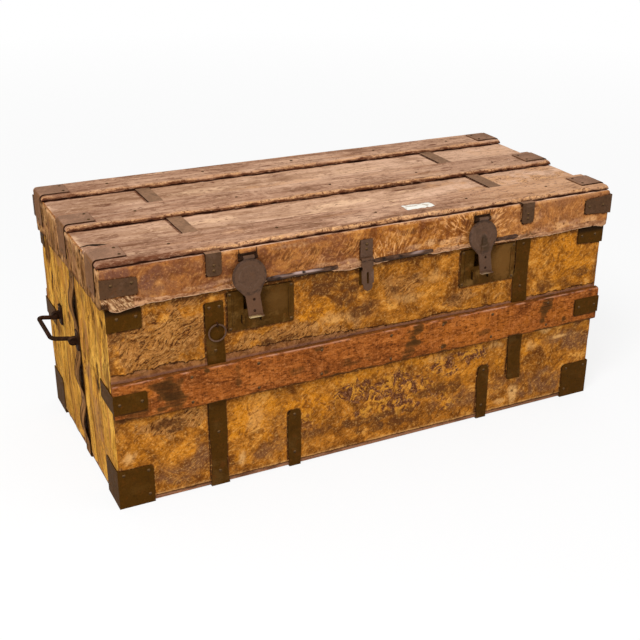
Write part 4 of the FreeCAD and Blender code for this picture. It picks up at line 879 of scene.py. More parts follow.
def strap_drift(height):
    """How far the strap wanders along the depth at a height."""
    heights = np.array((0, 60, 104.5, 150, 210, 270, 325)) * MM
    return np.interp(height, heights, np.array((-4, -3, -1, -1, 0, 2, 2)) * MM)


def side_strap_shade(points):
    """1 on the hide beside and under the strap, most where it stands off."""
    middle = (strap_low[1] + strap_high[1]) / 2 + strap_drift(points[:, 2])
    half = (strap_high[1] - strap_low[1]) / 2
    open_share = smooth(strap_bulge(points[:, 2]), 0.5 * MM, 4 * MM)
    reach = 3 * MM + 5 * MM * open_share
    away = np.abs(points[:, 1] - middle) - half
    return smooth(reach - away, 0, reach * 0.8) * smooth(points[:, 2], 0, 0.01)


def left_side_strap():
    """A thin iron strap with worn, wavy edges, up the left end from its foot under the bottom."""
    steps = 8
    foot = np.column_stack([np.linspace(strap_high[0], strap_low[0] + 2 * MM, steps),
                            np.full(steps, strap_low[2] + 0.75 * MM)])
    rise = spaced(2 * MM, strap_high[2], 2.6 * MM)
    leg = np.column_stack([strap_low[0] + 0.2 * MM - strap_bulge(rise), rise])
    path = np.vstack([foot, leg])
    across = np.linspace(-1, 1, 9)
    rows, wide = len(path), len(across)
    place = np.repeat(path, wide, axis=0)
    share = np.tile(across, rows)
    height = place[:, 1]
    half = (strap_high[1] - strap_low[1]) / 2
    flat = np.column_stack([place[:, 0], share * half, height])
    narrow = 1 - 0.10 * smooth(noise(flat, (1.0, 1.0, 0.03), 101, 2), -0.3, 0.8)
    y = (strap_low[1] + strap_high[1]) / 2 + strap_drift(height) + share * half * narrow
    curl = 0.9 * MM * np.abs(share) ** 3 * smooth(strap_bulge(height), 0.5 * MM, 4 * MM)
    points = np.column_stack([place[:, 0] - curl * (height > 3 * MM), y, height])
    dark = most(smooth(np.abs(share), 0.62, 0.95) * 0.8,
                smooth(noise(points, (0.02, 0.006, 0.03), 102, 3), 0.2, 0.9) * 0.7)
    pale = smooth(noise(points, (0.02, 0.004, 0.05), 103, 2), 0.45, 1.0) * 0.5
    piece = build("left_end_strap", points, loop_faces(rows, wide, False), (WORN_STRAP,), "case", None,
                  np.column_stack([dark, pale, dark * 0]))
    piece.data.flip_normals()
    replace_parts(thicken(piece, 1.2 * MM), "left_side_strap")


def worn_strap():
    """Iron almost hidden by brown dust, black along its edges."""
    n = Nodes("worn_strap")
    dark, pale, _ = n.marks()
    fibre = n.streaks((160.0, 160.0, 30.0), 4.0, 0.68, 0.6)
    base = n.ramp(fibre, (0.36, (66, 38, 12)), (0.5, (126, 84, 42)), (0.66, (170, 122, 72)))
    base = n.mix(n.times(pale, 0.8), base, (190, 144, 108))
    base = n.mix(dark, base, (26, 13, 5))
    return n.done(base, 0.0012, (fibre, 1))


WORN_STRAP = worn_strap()


# Front and rear slats of the case

RED_DARK = [
    (-368, 200, 24, 10, 0.8), (-354, 186, 18, 26, 0.8), (-374, 164, 14, 10, 0.7), (-420, 176, 40, 34, 0.35),
    (-250, 185, 6, 30, 0.4), (68, 203, 12, 14, 0.75), (60, 186, 11, 18, 0.75), (50, 168, 10, 14, 0.7),
    (47, 160, 8, 8, 0.7), (334, 203, 10, 14, 0.75), (327, 186, 9, 16, 0.7), (-110, 209, 7, 4, 0.7),
    (120, 209, 6, 3, 0.75), (-100, 165, 6, 5, 0.8), (121, 164, 5, 4, 0.75), (372, 168, 5, 4, 0.8),
    (-50, 170, 30, 8, 0.4), (-300, 209, 4, 4, 0.7), (204, 176, 20, 6, 0.4), (-150, 178, 16, 8, 0.4)]
RED_WORN = [
    (180, 184, 90, 30, 0.5), (330, 184, 80, 24, 0.6), (-390, 196, 14, 10, 0.6), (60, 190, 40, 20, 0.4)]


def case_slats():
    """Two wooden bars with worn edges, chipped away below at their left ends."""
    for name, node, sign in (("front_bar", "front_slat", -1), ("rear_bar", "rear_slat", 1)):
        low, high = np.array(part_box(node))
        radii = np.array((4, 0.6, 0.6, 4) if sign < 0 else (0.6, 4, 4, 0.6)) * MM
        loop, normals = rounded_loop(low[1:], high[1:], radii, (3 * MM, 2.6 * MM, 3 * MM, 2.6 * MM))

        def painted(points, outward):
            low_edge = smooth(low[2] + 0.005 - points[:, 2] + 0.003 * noise(points, 0.02, 33, 2), 0, 0.005)
            dark = most(spots(points, (0, 2), RED_DARK, 31, 0.8, 0.012), 0.8 * low_edge,
                        0.9 * grime_and_edge_shade(points, ["case_slat_clamps"], 3 * MM), (outward[:, 2] > 0.9) * 0.4)
            # Painted highlight along the rounded upper edge.
            pale = smooth(outward[:, 2], 0.3, 0.6) * smooth(-outward[:, 2], -0.95, -0.85)
            pale = pale * smooth(noise(points, (0.016, 0.01, 0.01), 34, 3), -0.5, 0.3) * 0.9
            return np.column_stack([dark * (1 - pale), pale, spots(points, (0, 2), RED_WORN, 35, 0.8)])

        def bend(points, outward):
            push = noise(points, (0.05, 0.02, 0.012), 36, 3) * 0.5 * MM
            chip = smooth(noise(points, (0.022, 0.02, 0.02), 37, 3), 0.1, 0.8) * 2.4 * MM
            edge = smooth(np.abs(points[:, 2] - (low[2] + high[2]) / 2), 0.024, 0.031)
            worn_end = smooth(-points[:, 0], 0.385, 0.444) * smooth(-points[:, 2], -low[2] - 0.014, -low[2])
            push = push - chip * edge
            at_wall = np.abs(points[:, 1] - (high[1] if sign < 0 else low[1])) < 2 * MM
            push = np.where(at_wall, np.minimum(push, 0), np.minimum(push, 0.5 * MM))
            moved = points + outward * push[:, None]
            moved[:, 2] += worn_end * 5 * MM * (outward[:, 2] < 0.2)
            return moved

        stations = spaced(low[0], high[0], 3 * MM)
        piece = swept(name, loop, normals, stations, (RED_WOOD,), "case", bend, painted)
        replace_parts(piece, node)


# Straps that keep their CAD shape but for a wandering outline

CUT_STEP, CUT_MARGIN = 4 * MM, 0.15 * MM


def wavy_strap(node, seed):
    """A copy of a flat upright strap, cut into short lengths whose edges wander; on the right front strap,
    one end is curled off.
    """
    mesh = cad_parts[node].data.copy()
    shape = bmesh.new()
    shape.from_mesh(mesh)
    low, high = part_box(node)
    bmesh.ops.remove_doubles(shape, verts=shape.verts[:], dist=JOINING)
    for level in spaced(low[2] + CUT_STEP, high[2] - CUT_STEP, CUT_STEP):
        parts = shape.verts[:] + shape.edges[:] + shape.faces[:]
        bmesh.ops.bisect_plane(shape, geom=parts, dist=CUT_MARGIN, plane_co=(0, 0, level), plane_no=(0, 0, 1))
    bmesh.ops.remove_doubles(shape, verts=shape.verts[:], dist=CUT_MARGIN)
    places = np.array([vertex.co[:] for vertex in shape.verts])
    aside = (2.0 * MM * noise(places, (0.018, 1.0, 0.036), seed)
             + 0.4 * MM * noise(places, (0.016, 1.0, 0.007), seed + 3))
    lifted = (3.2 * MM * smooth(-places[:, 2], -0.118, -0.084) * smooth(places[:, 2], 0.066, 0.084)
              * (node == "right_strap_front"))
    for vertex, sideways, out in zip(shape.verts, aside.tolist(), lifted.tolist()):
        vertex.co.x += sideways
        vertex.co.y -= out
    shape.to_mesh(mesh)
    shape.free()
    reshaped(node, "case", mesh, STRAP_IRON, 0.4)


def reshaped_plates(node, body, material, pulls):
    """A copy of the corner plates with some corners of the front ones pulled up or down.

    Each pull is a range of X, a range of Z and how far to go at the range's two ends, all in millimetres.
    """
    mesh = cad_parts[node].data.copy()
    for vertex in mesh.vertices:
        x, y, z = vertex.co
        if y > -0.15:
            continue
        for (left, right), (bottom, top), (at_left, at_right) in pulls:
            if left * MM <= x <= right * MM and bottom * MM <= z <= top * MM:
                share = (x / MM - left) / (right - left)
                vertex.co.z = z + (at_left + (at_right - at_left) * share) * MM
    RESHAPED[node] = mesh
    reshaped(node, body, mesh, material, 0.5)


def corner_plates():
    """The corner plates of the case and the lid."""
    left, right = (-460, -390), (390, 460)
    reshaped_plates("case_corner_plates", "case", DARK_IRON,
                    [(left, (296, 310), (-5.5, -5)), (right, (296, 310), (1.5, -3))])
    reshaped_plates("lid_corner_plates", "lid", CORNER_IRON,
                    [(left, (370, 392), (-7, -10)), (right, (370, 392), (-5, 0)),
                     (right, (350, 369), (6.5, 0.5))])


def wavy_straps():
    """The upright straps of the case."""
    for seed, node in enumerate(("left_strap", "right_strap_front", "right_strap_rear", "short_straps")):
        wavy_strap(node, 131 + seed)


# Lid

LID_IRONS = ["lid_corner_plates", "lid_strap_left", "lid_strap_right", "hasp_bracket_left",
             "hasp_bracket_right", "centre_hasp_upper", "hinge_lid_leaves"]

# The lip's height at each X, and how broad the pinkish band above it is
LIP = [
    (-452, 337), (-441, 336.5), (-436.5, 331.5), (-430, 329), (-421, 328.7), (-412, 330.1), (-400, 332.1),
    (-388, 333.1), (-377, 333.9), (-353, 334.5), (-292, 334.8), (-255, 334), (-215, 335), (-180, 337),
    (-95, 337), (-85, 334), (-60, 332), (-30, 332.5), (0, 336), (85, 336), (93, 332.7), (117, 333.5),
    (162, 334.2), (205, 334.5), (262, 332.5), (287, 331.5), (351, 332.2), (389, 332.9), (421, 332.5),
    (436, 330), (446, 331), (452, 334)]
LIP_BAND = [
    (-450, 23), (-408, 22), (-394, 14), (-380, 10), (-350, 7), (-215, 8), (-200, 3), (-90, 3), (-70, 12),
    (-20, 10), (0, 3), (85, 3), (100, 10), (150, 7), (210, 4), (260, 10), (330, 8), (400, 12), (450, 12)]

# Spots on the front: X and Z of the middle, the two half-widths and the amount
VIOLET = [
    (-425, 384, 44, 12, 1), (-380, 370, 22, 18, 1), (-362, 356, 20, 13, 0.9), (-340, 382, 30, 6, 0.6),
    (-150, 388, 50, 4, 0.5), (-210, 360, 12, 10, 0.4), (30, 345, 40, 8, 0.5), (420, 388, 30, 6, 0.8),
    (340, 386, 40, 5, 0.5), (380, 346, 12, 6, 0.4)]
LID_DARK = [
    (-268, 345, 20, 4, 0.5), (-111, 374, 20, 8, 0.45), (-345, 374, 30, 8, 0.35), (-310, 356, 14, 12, 0.35),
    (-190, 372, 40, 10, 0.45), (-140, 352, 30, 8, 0.45), (-396, 343, 30, 4, 0.6), (60, 378, 40, 6, 0.5),
    (-255, 368, 10, 14, 0.6), (165, 368, 16, 14, 0.6), (300, 350, 50, 6, 0.2), (350, 378, 30, 6, 0.3),
    (410, 384, 30, 6, 0.6), (416, 334, 4, 10, 0.9), (100, 356, 20, 6, 0.5), (-50, 370, 30, 10, 0.5)]
LID_PALE = [
    (-240, 349, 40, 5, 0.9), (-66, 346, 22, 4, 0.9), (-300, 346, 30, 3, 0.6), (-40, 334, 24, 8, 0.6),
    (-30, 345, 16, 6, 0.5), (125, 337, 40, 7, 1), (85, 352, 12, 5, 0.9), (110, 350, 14, 4, 0.8),
    (140, 348, 16, 6, 0.8), (60, 350, 20, 5, 0.6), (215, 380, 12, 8, 0.7), (290, 342, 40, 7, 0.8),
    (350, 346, 50, 6, 0.9), (400, 345, 30, 6, 0.7), (434, 336, 12, 8, 0.9), (-100, 347, 20, 3, 0.6),
    (-165, 387, 30, 4, 0.8), (300, 368, 12, 10, 0.4), (10, 349, 12, 3, 0.7)]
SCRATCHED = [
    (330, 366, 60, 20, 0.8), (205, 370, 60, 22, 1), (120, 362, 60, 24, 1), (20, 362, 60, 24, 1),
    (-80, 358, 60, 22, 0.8), (250, 366, 30, 20, 1), (360, 362, 60, 14, 0.4)]

# Nail holes: X and Z
NAIL_HOLES = [
    (-255, 340.5), (-150, 347.5), (-60, 334.5), (-12, 340), (108, 339.5), (118, 347.5), (140, 341),
    (300, 344), (335, 341.5), (352, 347), (405, 342.5), (-345, 334), (-300, 332.5), (-385, 334), (125, 333.5),
    (268, 343.5)]

# Spots on the top panel: X and Y of the middle, the two half-widths and the amount
PANEL_WORN = [
    (300, -60, 70, 26, 0.8), (380, -85, 60, 28, 0.9), (240, -95, 60, 14, 0.6), (420, -40, 30, 20, 0.8),
    (-60, 70, 80, 12, 0.4), (120, -105, 80, 10, 0.5), (400, 100, 50, 30, 0.3), (200, -50, 30, 10, 0.6)]
PANEL_PALE = [
    (120, -55, 16, 4, 0.8), (-180, 90, 50, 10, 0.6), (-250, -60, 60, 10, 0.7), (0, -70, 70, 12, 0.8),
    (100, 90, 60, 12, 0.4), (-60, -100, 50, 8, 0.6), (-448, 100, 4, 40, 0.9), (-447, -70, 6, 40, 0.9),
    (90, -95, 50, 10, 0.6), (-60, -85, 10, 3, 1), (-100, 115, 4, 3, 1)]
PANEL_DARK = [
    (-372, 82, 26, 10, 0.5), (-400, -70, 34, 18, 0.4), (-420, -110, 30, 8, 0.6), (-330, -85, 40, 10, 0.3),
    (-380, 120, 40, 10, 0.3), (130, -45, 30, 3, 0.6), (-160, 128, 4, 3, 0.8), (-60, 118, 40, 8, 0.3),
    (350, -108, 40, 6, 0.6)]


LID_STEP, LID_ROUND, LID_SKIN = 2.8 * MM, 5 * MM, 1.5 * MM
SIDE_ROWS = 24


def lip_height(points, outward):
    """Where the torn lower edge of the lid's hide hangs, all round."""
    front = np.interp(points[:, 0], *(np.array(LIP) * MM).T)
    side = 0.331 + 0.004 * noise(points, 0.05, 41, 2)
    ragged = 0.6 * MM * noise(points, 0.006, 42, 2) + 0.8 * MM * noise(points, 0.02, 43, 2)
    height = np.where(outward[:, 1] < -0.5, front, side) + ragged
    return np.where(outward[:, 1] > 0.5, 0.3412, height)


def lid_grid(radius):
    """The lid's skin: a top grid whose border rolls over into four sides, with outward normals."""
    across, deep = (spaced(lid_low[axis] + radius, lid_high[axis] - radius, LID_STEP) for axis in (0, 1))
    wide, far = len(across), len(deep)
    grid_x, grid_y = np.meshgrid(across, deep)
    top = np.column_stack([grid_x.ravel(), grid_y.ravel(), np.full(wide * far, lid_high[2])])
    faces = loop_faces(far, wide, False)
    index = np.arange(wide * far).reshape(far, wide)
    border = np.concatenate([index[0], index[1:, -1], index[-1, -2::-1], index[-2:0:-1, 0]]).tolist()
    ring = top[border]
    flat = np.zeros((len(border), 3))
    for axis, line in ((0, across), (1, deep)):
        flat[:, axis] += (ring[:, axis] >= line[-1] - 1e-9) * 1.0 - (ring[:, axis] <= line[0] + 1e-9) * 1.0
    flat /= np.linalg.norm(flat, axis=1)[:, None]
    lip = lip_height(ring + flat * radius, flat)
    layers, normals = [], []
    for angle in np.linspace(0, math.pi / 2, 5)[1:]:
        drop = np.array([0, 0, radius * (1 - math.cos(angle))])
        layers.append(ring + flat * radius * math.sin(angle) - drop)
        normals.append(flat * math.sin(angle) + np.array([0, 0, math.cos(angle)]))
    shoulder = lid_high[2] - radius
    for row in range(1, SIDE_ROWS + 1):
        layer = ring + flat * radius
        layer[:, 2] = shoulder + (lip - shoulder) * row / SIDE_ROWS
        layers.append(layer)
        normals.append(flat)
    count, above = len(border), border
    for layer in range(len(layers)):
        below = range(len(top) + layer * count, len(top) + (layer + 1) * count)
        faces += [(above[column], below[column], below[(column + 1) % count], above[(column + 1) % count])
                  for column in range(count)]
        above = below
    points = np.vstack([top] + layers)
    outward = np.vstack([np.tile([0.0, 0.0, 1.0], (len(top), 1))] + normals)
    return points, outward, faces


def lid_marks(points, outward, is_top, is_end, front):
    """The lid's masks: dark, pale and scratched or worn; then pinkish, fibrous and violet; and its pits."""
    x, y, z = points.T
    shadows = []
    for node in ("lid_slat_front", "lid_slat_middle", "lid_slat_rear"):
        low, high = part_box(node)
        shadows += [smooth(0.0045 - np.abs(y - low[1]) + 0.002 * noise(points, 0.02, 53, 2), 0, 0.0035),
                    0.5 * smooth(0.004 - np.abs(y - high[1]), 0, 0.003)]
    left_shade = 0.24 * smooth(-x, 0.27, 0.45) * (1 + 0.6 * noise(points, 0.05, 68, 3))
    holes = [(*place, 2.4, 2.4, 1) for place in NAIL_HOLES]
    pits = smooth(noise(points, (0.012, 0.0075, 0.015), 54, 2), 0.42, 0.72)
    folds = smooth(noise(points, (0.03, 0.014, 0.05), 55, 3), 0.35, 0.95) * 0.7
    lip_line = smooth(-z, -0.345, -0.331) * is_end * smooth(noise(points, 0.02, 66, 2), -0.4, 0.4)
    dark = most(spots_by(is_top, points, ((0, 1), PANEL_DARK, 51, 0.7), ((0, 2), LID_DARK, 52, 0.9)),
                np.where(is_top, most(*shadows, left_shade), 0),
                np.where(front, spots(points, (0, 2), holes, 1, 0), 0))
    torn_corner = front * smooth(-x, 0.434, 0.440) * smooth(-z, -0.347, -0.343)
    dark = most(np.where(is_end, most(pits, folds), dark), lip_line * 0.8, 0.9 * torn_corner,
                grime_and_edge_shade(points, LID_IRONS, GRIME_AND_SHADE_REACH))
    ledge = smooth(z, lid_high[2] - 0.0045, lid_high[2] - 0.001) * (outward[:, 1] < -0.1)
    pale = most(spots_by(is_top, points, ((0, 1), PANEL_PALE, 56, 0.8), ((0, 2), LID_PALE, 57, 0.9)),
                ledge * smooth(noise(points, (0.05, 0.02, 0.02), 58, 2), -0.5, 0.3) * 0.8)
    rim = smooth(z, lid_high[2] - 0.012, lid_high[2] - 0.003)
    pale = np.where(is_end, rim * smooth(noise(points, 0.02, 67, 3), -0.5, 0.5), pale)
    third = spots_by(is_top, points, ((0, 1), PANEL_WORN, 59, 0.9), ((0, 2), SCRATCHED, 60, 0.6))
    third = np.where(is_end, smooth(noise(points, (0.05, 0.03, 0.04), 61, 2), 0.0, 0.8) * 0.6, third)
    rim_place = np.column_stack([x, np.full(len(x), lid_low[1]), np.full(len(x), lid_high[2])])
    hang = z - lip_height(rim_place, np.tile([0.0, -1.0, 0.0], (len(x), 1)))
    band = np.interp(x, *(np.array(LIP_BAND) * MM).T) * (1 + 0.25 * noise(points, 0.03, 69, 3))
    pink = front * smooth(band - hang, -0.0005, 0.0015) * (0.72 + 0.28 * smooth(0.0026 - hang, 0, 0.0016))
    left = smooth(-x, 0.396, 0.408)
    fibrous = front * left * smooth(band - hang, -0.001, 0.002) * smooth(hang, 0.001, 0.003)
    violet = front * spots(points, (0, 2), VIOLET, 70, 0.9)
    return np.column_stack([dark, pale, third]), np.column_stack([pink, fibrous, violet]), pits


def lid_cover():
    """The lid's cover: a flat top that rounds down into four sides with a torn lip."""
    points, outward, faces = lid_grid(LID_ROUND)
    is_top = outward[:, 2] > 0.8
    is_end = ~is_top & (np.abs(outward[:, 0]) > 0.75)
    front = ~is_top & (outward[:, 1] < -0.3)
    marks, tones, pits = lid_marks(points, outward, is_top, is_end, front)
    lumps = noise(points, (0.06, 0.024, 0.05), 62, 3)
    small = noise(points, 0.012, 63, 3)
    grain = noise(points, (0.3, 0.03, 0.3), 64, 2)
    push = np.where(is_end, 1.5 * lumps + small - 1.2 * pits,
                    np.where(is_top, 0.35 * grain + 0.15 * small, 0.5 * lumps + 0.25 * small))
    ripple = smooth(-points[:, 2], -0.345, -0.328) * ~is_top * np.where(outward[:, 1] < -0.5, 1.2, 0.6)
    push = push + ripple * noise(points, (0.028, 0.05, 0.05), 65, 2)
    push = np.clip(push, -1.8, np.where(is_end, 0.8, 0.45)) * MM
    moved = points + outward * push[:, None]
    first = np.array(faces)[:, 1]
    slots = np.where(is_top[first], 2, np.where(is_end[first], 1, 0))
    piece = build("lid_cover", moved, faces, (LID_FRONT, LID_END, PANEL_WOOD), "lid", slots.tolist(),
                  marks, tones)
    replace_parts(thicken(piece, LID_SKIN), "lid_hide")


def lid_slats():
    """Weathered slats with worn, frayed front edges and ends rounded under their clamps."""
    end_round = 6 * MM
    for name, node, seed, ragged in (("lid_bar_front", "lid_slat_front", 71, 1.0),
                                     ("lid_bar_middle", "lid_slat_middle", 81, 0.9),
                                     ("lid_bar_rear", "lid_slat_rear", 91, 0.35)):
        low, high = np.array(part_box(node))
        height = high[2] - low[2]
        is_front = node == "lid_slat_front"
        loop, normals = rounded_loop(low[1:], high[1:], np.array((0.4, 0.4, 3, 4.5)) * MM,
                                     np.array((4, 1.6, 2.4, 1.4)) * MM, 6)

        def painted(points, outward):
            x, y, z = points.T
            ragged_line = 0.004 * noise(points, (0.03, 0.01, 0.01), seed, 3)
            front_edge = smooth(low[1] + 0.006 - y + ragged_line, 0, 0.005)
            wavy = 0.0016 * noise(points, (0.016, 0.01, 0.01), seed + 1, 2)
            # Painted shade under the front edge and along its foot, with dirt.
            under = smooth(low[2] + 0.0034 - z + wavy, 0, 0.0022) * (outward[:, 1] < -0.2)
            shade = smooth(low[2] + 0.0070 - z + 1.5 * wavy, 0, 0.0035) * front_edge
            shade = shade * (np.clip(0.9 - 1.6 * (x + 0.34) / 0.2, 0.1, 0.62) if is_front else 0.62)
            blots = smooth(noise(points, (0.05, 0.02, 0.02), seed + 3, 3), 0.55, 1.2)
            sooty = smooth(-x, 0.29, 0.35) * is_front
            dark = most(under, shade, grime_and_edge_shade(points, ["lid_slat_clamps"], 2.6 * MM, (0, 1.4 * MM, 0)),
                        0.25 * smooth(-x, 0.2, 0.42), 0.5 * blots, 0.6 * sooty * front_edge)
            worn = most(front_edge * (0.6 + 0.4 * ragged) * (1 - under),
                        0.5 * smooth(noise(points, (0.12, 0.02, 0.02), seed + 4, 3), 0.4, 1.0),
                        0.55 * smooth(x, 0.1, 0.3) * is_front) * (1 - 0.75 * sooty)
            streaked = 0.7 * smooth(noise(points, (0.08, 0.012, 0.012), seed + 5, 3), 0.4, 1.0)
            # A painted highlight along the top of the front edge.
            crest_highlight = front_edge * smooth(z, high[2] - 0.0022, high[2] - 0.0006)
            crest_highlight = crest_highlight * smooth(noise(points, (0.03, 0.02, 0.02), seed + 9, 2), -0.2, 0.5)
            pale = most(streaked * (1 - front_edge), 0.35 * crest_highlight * (1 - sooty))
            return np.column_stack([dark, pale, worn])

        def bend(points, outward):
            x, y, z = points.T
            sheltered = smooth(np.abs(x), 0.398, 0.404)
            grain = noise(points, (0.08, 0.008, 0.008), seed + 6, 3) * 0.35 * MM
            fray = smooth(noise(points, (0.011, 0.01, 0.01), seed + 7, 3), 0.0, 0.9) * 0.9 * MM
            fray = fray + smooth(noise(points, (0.05, 0.02, 0.02), seed + 8, 3), 0.1, 0.9) * 2.4 * MM
            at_front = smooth(low[1] + 0.007 - y, 0, 0.006) * smooth(z, low[2], low[2] + 0.003)
            push = grain * (1 - sheltered) - fray * at_front * (1 - 0.6 * sheltered) * (0.4 + 0.6 * ragged)
            push = np.minimum(push, np.where(outward[:, 2] < -0.5, 0, 0.3 * MM)) - 0.1 * MM
            moved = points + outward * push[:, None]
            to_round = np.clip(end_round - (high[0] - np.abs(x)), 0, end_round)
            lost = end_round - np.sqrt(end_round ** 2 - to_round ** 2)
            moved[:, 2] = low[2] + (moved[:, 2] - low[2]) * (1 - lost / height)
            return moved

        ends = high[0] - end_round * (1 - np.cos(np.linspace(0, math.pi / 2, 7)))
        stations = np.concatenate([-ends[:-1], spaced(-ends[-1], ends[-1], 2.6 * MM), ends[-2::-1]])
        piece = swept(name, loop, normals, stations, (SLAT_WOOD,), "lid", bend, painted)
        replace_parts(piece, node)


# Small pieces made again

EDGING_SPANS = [(-200.7, -80.1), (-18, 91), (211, 257.4)]


def lid_edging():
    """A rolled iron bead along the lid's lower edge in three lengths, dented and torn at the ends."""
    low, high = np.array(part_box("lid_edging"))
    radius = (high[2] - low[2]) / 2
    angles = np.linspace(math.pi / 2, 1.5 * math.pi, 9)
    normals = np.column_stack([np.cos(angles), np.sin(angles)])
    loop = np.array([high[1], low[2] + radius]) + normals * radius * (0.95, 1)
    loop = np.vstack([loop, [[high[1], low[2] + radius]]])
    normals = np.vstack([normals, [[0, 0]]])
    points, faces, marks = [], [], []
    for index, (start, end) in enumerate(np.array(EDGING_SPANS) * MM):
        part, outward, sides = bar(loop, normals, spaced(start, end, 2 * MM), sum(map(len, points)))
        faces += sides
        from_end = np.minimum(part[:, 0] - start, end - part[:, 0])
        dents = 0.9 * smooth(noise(part, (0.012, 0.02, 0.02), 111 + index, 2), -0.1, 0.9)
        crumple = 1.4 * smooth(part[:, 0], 0.243, 0.252) * np.abs(noise(part, 0.006, 114, 2))
        push = -MM * (dents + 1.6 * smooth(-from_end, -0.004, 0) + crumple)
        points.append(part + outward * push[:, None])
        # Painted shade along the underside, and dark patches.
        dark = most(smooth(-part[:, 2], -low[2] - 0.0030, -low[2] - 0.0012),
                    smooth(noise(part, (0.010, 0.01, 0.006), 115, 2), 0.35, 0.9))
        # A painted highlight along the crown.
        crown = smooth(part[:, 2], low[2] + 0.0042, low[2] + 0.0062)
        pale = crown * smooth(noise(part, (0.03, 0.01, 0.01), 116, 2), -0.2, 0.6)
        marks.append(np.column_stack([dark, pale, dark * 0]))
    piece = build("lid_bead", np.vstack(points), faces, (BEAD_IRON,), "lid", None, np.vstack(marks))
    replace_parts(piece, "lid_edging")


def bead_iron():
    """Dark iron with a painted lilac-grey highlight along its crown, and dark patches with painted shade
    along its underside.
    """
    n = Nodes("bead_iron", 0.5, 0.15)
    dark, pale, _ = n.marks()
    fine = n.streaks((60.0, 240.0, 240.0), 4.0, 0.7)
    base = n.mix(n.band(fine, 0.4, 0.62), (58, 34, 18), (92, 64, 46))
    base = n.mix(n.times(pale, 0.9), base, (178, 152, 144))
    base = n.mix(dark, base, (22, 11, 5))
    return n.done(base, 0.0006, (fine, 1))


BEAD_IRON = bead_iron()


# Scraps of hide: the X and Z of the middle, the length, the width and the turn in degrees
SHREDS = [
    (259, 340, 11, 2.2, 25), (266.5, 337.5, 10, 1.8, -12), (272, 342, 12, 2, 52), (277.5, 338, 9, 1.6, 10),
    (284, 341, 8, 1.8, -38), (262, 335, 8, 1.5, -60), (289.5, 338.5, 7, 1.4, 20)]


def hide_shreds():
    """Curled scraps of torn hide at the bead's right end."""
    points, faces = [], []
    face_y = lid_low[1] - 0.6 * MM
    for *sizes, turn in SHREDS:
        x, z, length, wide = (value * MM for value in sizes)
        along, out = math.cos(math.radians(turn)), math.sin(math.radians(turn))
        start = len(points) * 2
        for step in range(7):
            share = step / 6
            far = length * (share - 0.5)
            half = wide / 2 * (1 - 0.75 * share ** 2)
            y = face_y - 2.6 * MM * math.sin(math.pi * share)
            points.append([(x + far * along - half * out, y, z + far * out + half * along),
                           (x + far * along + half * out, y - 0.5 * MM, z + far * out - half * along)])
        faces += [tuple(start + 2 * row + corner for corner in (0, 1, 3, 2)) for row in range(6)]
    places = np.array(points).reshape(-1, 3)
    tint = 0.5 + 0.5 * noise(places, 0.006, 151)
    marks = np.column_stack([0.5 * (1 - tint), tint, tint * 0])
    piece = build("hide_shreds", places, faces, (WORN_STRAP,), "lid", None, marks)
    thicken(piece, 0.5 * MM)


def paper_label():
    """What is left of a torn paper label: blank, with a ragged outline."""
    low, high = np.array(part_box("paper_label"))
    high[0] -= 8 * MM
    wide, deep = 36, 14
    across, along = np.meshgrid(np.linspace(-1, 1, wide), np.linspace(-1, 1, deep))
    flat = np.column_stack([across.ravel(), along.ravel(), np.zeros(wide * deep)])
    torn_x = 1 - 0.05 * (1 + noise(flat, (0.6, 0.35, 1), 121, 3))
    torn_y = 1 - 0.17 * (1 + noise(flat, (0.22, 0.6, 1), 122, 3))
    middle, half = (low + high) / 2, (high - low) / 2
    x = middle[0] + half[0] * flat[:, 0] * np.where(np.abs(flat[:, 0]) > 0.7, torn_x, 1)
    y = middle[1] + half[1] * flat[:, 1] * np.where(np.abs(flat[:, 1]) > 0.5, torn_y, 1)
    curl = 0.5 * MM * np.abs(noise(flat, (0.5, 0.5, 1), 123, 2)) * smooth(np.abs(flat[:, 0]), 0.5, 1)
    points = np.column_stack([x, y, low[2] + 0.45 * MM + curl])
    piece = build("label_remnant", points, loop_faces(deep, wide, False), (PAPER,), "lid")
    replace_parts(thicken(piece, 0.25 * MM), "paper_label")


corner_plates()
case_hide()
case_slats()
left_side_strap()
wavy_straps()
lid_cover()
lid_slats()
lid_edging()
hide_shreds()
paper_label()


# Finishes on the CAD pieces that keep their shape

FINISHES = [
    (BOARD_WOOD, 0, ["front_board", "back_board", "lid_front_board", "lid_back_board", "lid_top_board"]),
    (END_WOOD, 0, ["left_board", "right_board", "lid_left_board", "lid_right_board"]),
    (BASE_WOOD, 0, ["bottom_board"]),
    (DARK_IRON, 0.5, ["bottom_corner_caps", "case_slat_clamps", "right_side_strap", "hasp_keeper",
                      "hinge_body_leaves", "hinge_lid_leaves", "hinge_pins"]),
    (DARK_IRON, 0, ["lock_case_left", "lock_case_right"]),
    (LOCK_IRON, 0.4, ["lock_plate_left", "lock_plate_right"]),
    (CLAMP_IRON, 0.4, ["lid_slat_clamps"]),
    (LID_STRAP_IRON, 0.4, ["lid_strap_left", "lid_strap_right"]),
    (HASP_IRON, 0.4, ["hasp_left", "hasp_right", "centre_hasp_lower", "centre_hasp_upper", "pull_ring",
                      "lock_bolt_left", "lock_bolt_right"]),
    (BLACK_IRON, 0, ["hasp_bracket_left", "hasp_bracket_right", "hasp_pins", "hasp_staple_left",
                     "hasp_staple_right", "ring_staple", "handle_left", "handle_right",
                     "handle_eyes_left", "handle_eyes_right"]),
    (NAIL_IRON, 0, ["case_nails", "lid_nails"]),
]

for material, softness, nodes in FINISHES:
    for node in nodes:
        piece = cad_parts[node]
        piece.data.materials.clear()
        piece.data.materials.append(material)
        if softness:
            soften(piece, softness)

for node in ("case_nails", "lid_nails", "hasp_staple_left", "hasp_staple_right"):
    join_points(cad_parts[node])


# Camera, light and floor

